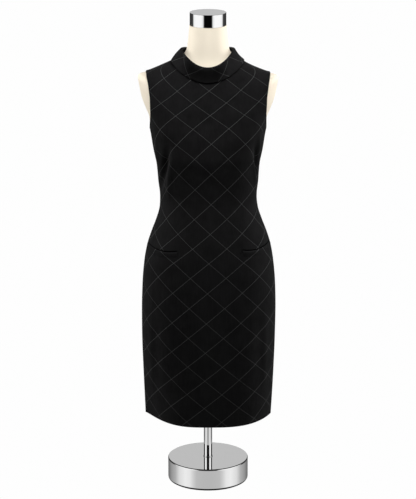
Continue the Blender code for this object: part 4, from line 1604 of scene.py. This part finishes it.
@dataclass
class DressForm:
    """The limbless form: neck, shoulder caps and torso under a jersey cover."""

    shape: WornShape
    jersey: bpy.types.Material
    cad_wall: float = 0.0016
    bottom_z: float = 0.500
    neck_top_z: float = 1.2570
    torso_rings: int = 60
    shoulder_rings: int = 60
    neck_rings: int = 50
    columns: int = 145
    pole_radius: float = 0.0116
    socket_depth: float = 0.0395
    fold_share: float = 0.9  # how much of the cloth's troughs the form gives way to
    chart_radius: float = 0.12

    def build(self) -> bpy.types.Object:
        """Builds the form as one smooth closed skin.

        Returns:
            The piece.
        """
        ways = self.shape.ways
        low = self.shape.way_at_height(self.bottom_z)
        torso = spans((low, ways[UNDERARM], ways[SHOULDER_TIP]), (self.torso_rings, self.shoulder_rings))
        rows = np.concatenate([*torso, np.linspace(ways[SHOULDER_TIP], ways[-1], self.neck_rings)])
        count = len(rows)
        shares = np.linspace(0, 1, self.columns // 2 + 1)
        front, around = self.shape.strip(rows, np.full(count, -90.0), np.full(count, 90.0), shares, 0.0)
        back, _ = self.shape.strip(rows, np.full(count, 90.0), np.full(count, 270.0), shares, 90.0)
        depth = sum(fold.depths(around, front[..., 2]) for fold in FRONT_FOLDS if fold.depth > 0)
        loops = np.concatenate([front[:, :-1], back], axis=1)
        sunk = np.concatenate([depth[:, :-1], np.zeros(back.shape[:2])], axis=1)
        wrapped = np.concatenate([loops[:, -2:-1], loops, loops[:, 1:2]], axis=1)
        normals = outward(wrapped)[:, 1:-1]
        normals[[0, -1], :, 2] = 0.0
        normals /= np.linalg.norm(normals, axis=-1, keepdims=True)
        inset = self.shape.at(rows)[:, EASE, None] + self.cad_wall + sunk * self.fold_share
        loops = loops - normals * inset[..., None]
        loops[-1, :, 2] = self.neck_top_z
        loops[:, -1] = loops[:, 0]
        closed = self.with_ends(loops)
        length = np.cumsum(np.linalg.norm(np.diff(closed[:, :1, :], axis=0), axis=2), axis=0)
        up = np.concatenate([[[0.0]], length])
        turn = np.linspace(0, 2 * math.pi, closed.shape[1])
        chart = np.stack(np.broadcast_arrays(turn * self.chart_radius, up), axis=-1)
        made = closed_piece("form_skin", closed, {"knit": chart})
        dress(made, self.jersey, Slot.JERSEY, "form_body")
        return made

    def with_ends(self, loops: np.ndarray) -> np.ndarray:
        """Closes the rings with a flat bottom, a socket and a flat top.

        Args:
            loops: the form's rings, lowest first.

        Returns:
            The rings with both ends drawn in.
        """
        bottom, top = loops[0], loops[-1]
        unit = bottom[:, :2] / np.linalg.norm(bottom[:, :2], axis=1, keepdims=True)
        socket_z = self.bottom_z + self.socket_depth
        rows = [
            np.column_stack([unit * radius, np.full(len(unit), z)])
            for radius, z in ((1e-7, socket_z), (self.pole_radius, socket_z), (self.pole_radius, self.bottom_z))
        ]
        for share in (0.25, 0.5, 0.75, 0.93, 0.985):
            flat = unit * self.pole_radius * (1 - share) + bottom[:, :2] * share
            rows.append(np.column_stack([flat, np.full(len(unit), self.bottom_z)]))
        lid = [np.column_stack([top[:, :2] * share, top[:, 2]]) for share in (0.97, 0.5, 1e-6)]
        return np.concatenate([np.array(rows), loops, np.array(lid)])


@dataclass
class ChromeStand:
    """The neck cap, the pole, the thin ring at its foot and the round base."""

    chrome: bpy.types.Material
    pole_radius: float = 0.0113
    pole_foot: float = 0.0215
    pole_top: float = 0.5397
    base_radius: float = 0.109
    base_height: float = 0.0612
    base_round: float = 0.0032
    base_foot_round: float = 0.0060
    ring_radius: float = 0.0125
    ring_height: float = 0.0022
    cap_radius: float = 0.0478
    cap_height: float = 0.0340
    cap_round: float = 0.0009
    neck_top_z: float = 1.2570
    socket_depth: float = 0.040
    pole_round: float = 0.0008
    ring_round: float = 0.0005
    gap: float = 0.0003
    steps: int = 160
    pole_steps: int = 64

    def build(self) -> None:
        """Builds the four turned pieces."""
        socket = self.pole_radius + self.gap
        floor_z = self.base_height - self.socket_depth
        low = self.base_height + self.gap
        high = low + self.ring_height
        bottom = self.neck_top_z + self.gap
        top = bottom + self.cap_height
        base = (
            (0.0, floor_z, 0.0),
            (socket, floor_z, 0.0),
            (socket, self.base_height, 0.0003),
            (self.base_radius, self.base_height, self.base_round),
            (self.base_radius, 0.0, self.base_foot_round),
            (0.0, 0.0, 0.0),
        )
        pole = (
            (0.0, self.pole_top, 0.0),
            (self.pole_radius, self.pole_top, self.pole_round),
            (self.pole_radius, self.pole_foot, self.pole_round),
            (0.0, self.pole_foot, 0.0),
        )
        ring = (
            (socket, low, 0.0),
            (socket, high, 0.0),
            (self.ring_radius, high, self.ring_round),
            (self.ring_radius, low, self.ring_round),
            (socket, low, 0.0),
        )
        cap = (
            (0.0, top, 0.0),
            (self.cap_radius, top, self.cap_round),
            (self.cap_radius, bottom, self.cap_round),
            (0.0, bottom, 0.0),
        )
        for name, node, corners, steps in (
            ("base_shell", "base", base, self.steps),
            ("pole_tube", "pole", pole, self.pole_steps),
            ("foot_ring", "pole_ring", ring, self.pole_steps),
            ("cap_shell", "neck_cap", cap, self.steps),
        ):
            dress(spun(name, rounded(corners), steps), self.chrome, Slot.CHROME, node)


# ---- the studio


@dataclass(frozen=True)
class Softbox:
    """A large soft light that polished metal doesn't mirror."""

    name: str
    place: tuple[float, float, float]
    aim: tuple[float, float, float]
    size: tuple[float, float]
    watts: float

    def build(self) -> None:
        """Hangs the light and turns it to its aim."""
        data = bpy.data.lights.new(self.name, "AREA")
        data.shape = "RECTANGLE"
        data.size, data.size_y = self.size
        data.energy = self.watts
        made = bpy.data.objects.new(self.name, data)
        made.location = self.place
        way = Vector(self.aim) - made.location
        made.rotation_euler = way.to_track_quat("-Z", "Y").to_euler()
        made.visible_glossy = False
        made.visible_camera = False
        bpy.context.scene.collection.objects.link(made)


@dataclass
class Studio:
    """A white floor, soft lights above and at both sides, and the photograph's camera."""

    camera_y: float = -6.34
    camera_z: float = 2.4307
    camera_pitch: float = 15.7
    sensor: float = 36.0
    lens: float = 2460.0 / 499.0 * 36.0  # focal length over picture height, times the sensor
    white: float = 0.99
    fill: float = 0.25
    fill_below: float = 0.04
    backdrop: float = 0.53  # what is mirrored of the wall behind
    ceiling: float = 0.05
    floor_radius: float = 9.0
    card_depth: float = 1.5
    card_radius: float = 7.0
    card_from: tuple[float, float] = (2.4, 3.6)  # distances over which the card's bands begin
    pole_from: tuple[float, float] = (4.25, 4.45)  # distances over which the pole's bands take over
    lights: tuple[Softbox, ...] = (
        Softbox("key", (0.06, -1.00, 2.00), (0.0, 0.0, 1.00), (0.8, 0.5), 14.5),
        Softbox("front_softbox", (0.0, -5.0, 3.0), (0.0, 0.0, 0.9), (2.6, 1.6), 30.0),
        Softbox("right_softbox", (3.0, 1.4, 1.5), (0.0, 0.0, 0.9), (1.4, 2.2), 158.0),
        Softbox("left_softbox", (-3.0, 1.3, 1.5), (0.0, 0.0, 0.9), (1.4, 2.2), 126.0),
    )
    mirrored: tuple[tuple[float, float], ...] = (
        (0.000, 0.03),
        (0.325, 0.05),
        (0.365, 0.45),
        (0.410, 0.86),
        (0.550, 1.00),
        (0.860, 1.00),
        (0.925, 0.82),
        (0.957, 0.003),
    )
    mirrored_high: tuple[tuple[float, float], ...] = (
        (0.00, 0.01),
        (0.45, 0.01),
        (0.54, 0.90),
        (0.86, 1.00),
        (0.92, 0.005),
    )
    mirrored_by_pole: tuple[tuple[float, float], ...] = (
        (0.00, 0.06),
        (0.23, 0.10),
        (0.36, 0.18),
        (0.55, 0.38),
        (0.66, 0.80),
        (0.84, 0.82),
        (0.90, 0.72),
        (0.96, 0.40),
        (1.00, 0.36),
    )
    mirrored_low: tuple[tuple[float, float], ...] = (
        (0.00, 0.16),
        (0.08, 0.20),
        (0.17, 0.31),
        (0.35, 0.45),
        (0.50, 0.74),
        (0.69, 0.88),
        (0.80, 0.82),
        (0.87, 0.64),
        (0.92, 0.52),
        (1.00, 0.49),
    )

    def build(self) -> None:
        """Builds the world, the floor, the lights and the camera."""
        self.world()
        self.floor()
        self.low_card()
        for light in self.lights:
            light.build()
        self.camera()
        bpy.context.scene.view_settings.view_transform = "Standard"

    def camera(self) -> None:
        """The camera, at the photograph's height and distance."""
        data = bpy.data.cameras.new("camera")
        data.lens = self.lens
        data.sensor_width = self.sensor
        made = bpy.data.objects.new("camera", data)
        made.location = (0.0, self.camera_y, self.camera_z)
        made.rotation_euler = (math.radians(90.0 - self.camera_pitch), 0.0, 0.0)
        bpy.context.scene.collection.objects.link(made)
        bpy.context.scene.camera = made

    def bands(self, graph: Graph, x: Signal, y: Signal, stops: Sequence[tuple[float, float]]) -> Signal:
        """Upright grey bands all round, alike on the left and the right.

        Args:
            graph: the tree that they are written in.
            x: across.
            y: away from the front.
            stops: (place, level), from 0 at the back to 1 at the front.

        Returns:
            The level.
        """
        level = (x * x + y * y).maths("SQRT").maths("MAXIMUM", 0.001)
        forward = (y * -0.5).maths("DIVIDE", level) + 0.5
        colours = [(place, (grey_level,) * 3) for place, grey_level in stops]
        return graph.signal(graph.node("ShaderNodeValToRGB", inputs={0: forward}, stops=colours))

    def world(self) -> None:
        """White to the camera; dark in front, at the back and above to what mirrors it."""
        world = bpy.data.worlds.new("studio")
        bpy.context.scene.world = world
        world.use_nodes = True
        graph = Graph(world.node_tree)
        x, y, z = graph.parts(graph.node("ShaderNodeTexCoord").outputs["Generated"])
        level = (x * x + y * y).maths("SQRT").maths("MAXIMUM", 0.001)
        behind = graph.smooth(y.maths("DIVIDE", level), 0.94, 0.98)
        backdrop = behind * graph.smooth(z, 0.0, 0.08)
        low, high = (self.bands(graph, x, y, stops).socket for stops in (self.mirrored, self.mirrored_high))
        mirrored = graph.mix(backdrop, graph.mix(graph.smooth(z, 0.20, 0.27), low, high), grey(self.backdrop))
        mirrored = graph.mix(graph.smooth(z, 0.42, 0.60), mirrored, grey(self.ceiling))
        paths = graph.node("ShaderNodeLightPath")
        diffuse = graph.mix(graph.smooth(z, -0.25, 0.75), grey(self.fill_below), grey(self.fill))
        lit = graph.mix(graph.signal(paths, "Is Diffuse Ray"), mirrored, diffuse)
        seen = graph.mix(graph.signal(paths, "Is Camera Ray"), lit, grey(self.white))
        background = graph.node("ShaderNodeBackground", inputs={"Color": seen, "Strength": 1.0})
        graph.node("ShaderNodeOutputWorld", inputs={"Surface": background.outputs[0]})

    def disc(self, name: str, radius: float, z: float, hidden_from: Sequence[str]) -> Graph:
        """Lays a round card that isn't part of the model.

        Args:
            name: its name, and its material's.
            radius: its radius.
            z: its height.
            hidden_from: the kinds of ray that don't meet it.

        Returns:
            Its material's empty tree.
        """
        shape = bmesh.new()
        bmesh.ops.create_circle(shape, cap_ends=True, segments=96, radius=radius)
        bmesh.ops.translate(shape, vec=(0, 0, z), verts=shape.verts[:])
        made = piece_from(name, shape)
        material, graph = blank(name)
        made.data.materials.append(material)
        for kind in hidden_from:
            setattr(made, f"visible_{kind}", False)
        return graph

    def floor(self) -> None:
        """A plain white floor, lit as evenly as the background."""
        graph = self.disc("studio_floor", self.floor_radius, 0.0, ("diffuse", "glossy"))
        graph.surface("ShaderNodeEmission", {"Color": grey(self.white), "Strength": 1.0})

    def low_card(self) -> None:
        """What the base and the pole mirror of the floor: a far card in soft grey bands."""
        graph = self.disc("low_card", self.card_radius, -self.card_depth, ("camera", "diffuse", "shadow"))
        x, y, _ = graph.parts(graph.node("ShaderNodeTexCoord").outputs["Object"])
        away = (x * x + y * y).maths("SQRT")
        by_base, by_pole = (self.bands(graph, x, y, stops) for stops in (self.mirrored_low, self.mirrored_by_pole))
        farther = graph.smooth(away, *self.pole_from)
        level = (by_base * (1 - farther) + by_pole * farther) * graph.smooth(away, *self.card_from)
        graph.surface("ShaderNodeEmission", {"Color": grey(1.0), "Strength": level})


def main() -> None:
    """Builds every piece and the studio."""
    logging.basicConfig(level=logging.INFO, format="%(message)s")
    shape = WornShape()
    cloth = WindowpaneSuiting().material()
    jersey = CreamJersey().material()
    chrome = Polished("bright_chrome", (0.96, 0.96, 0.96), 1.0, 0.025, 0.02).material()
    enamel = Polished("zip_enamel", (0.015, 0.015, 0.016), 0.0, 0.28, 0.10).material()
    pieces = SheathDress(shape, WindowpaneLayout(), cloth).build()
    collar = RollCollar(cloth).build()
    ConcealedZip(shape, enamel).build()
    DressForm(shape, jersey).build()
    ChromeStand(chrome).build()
    Studio().build()


if __name__ == "__main__":
    main()
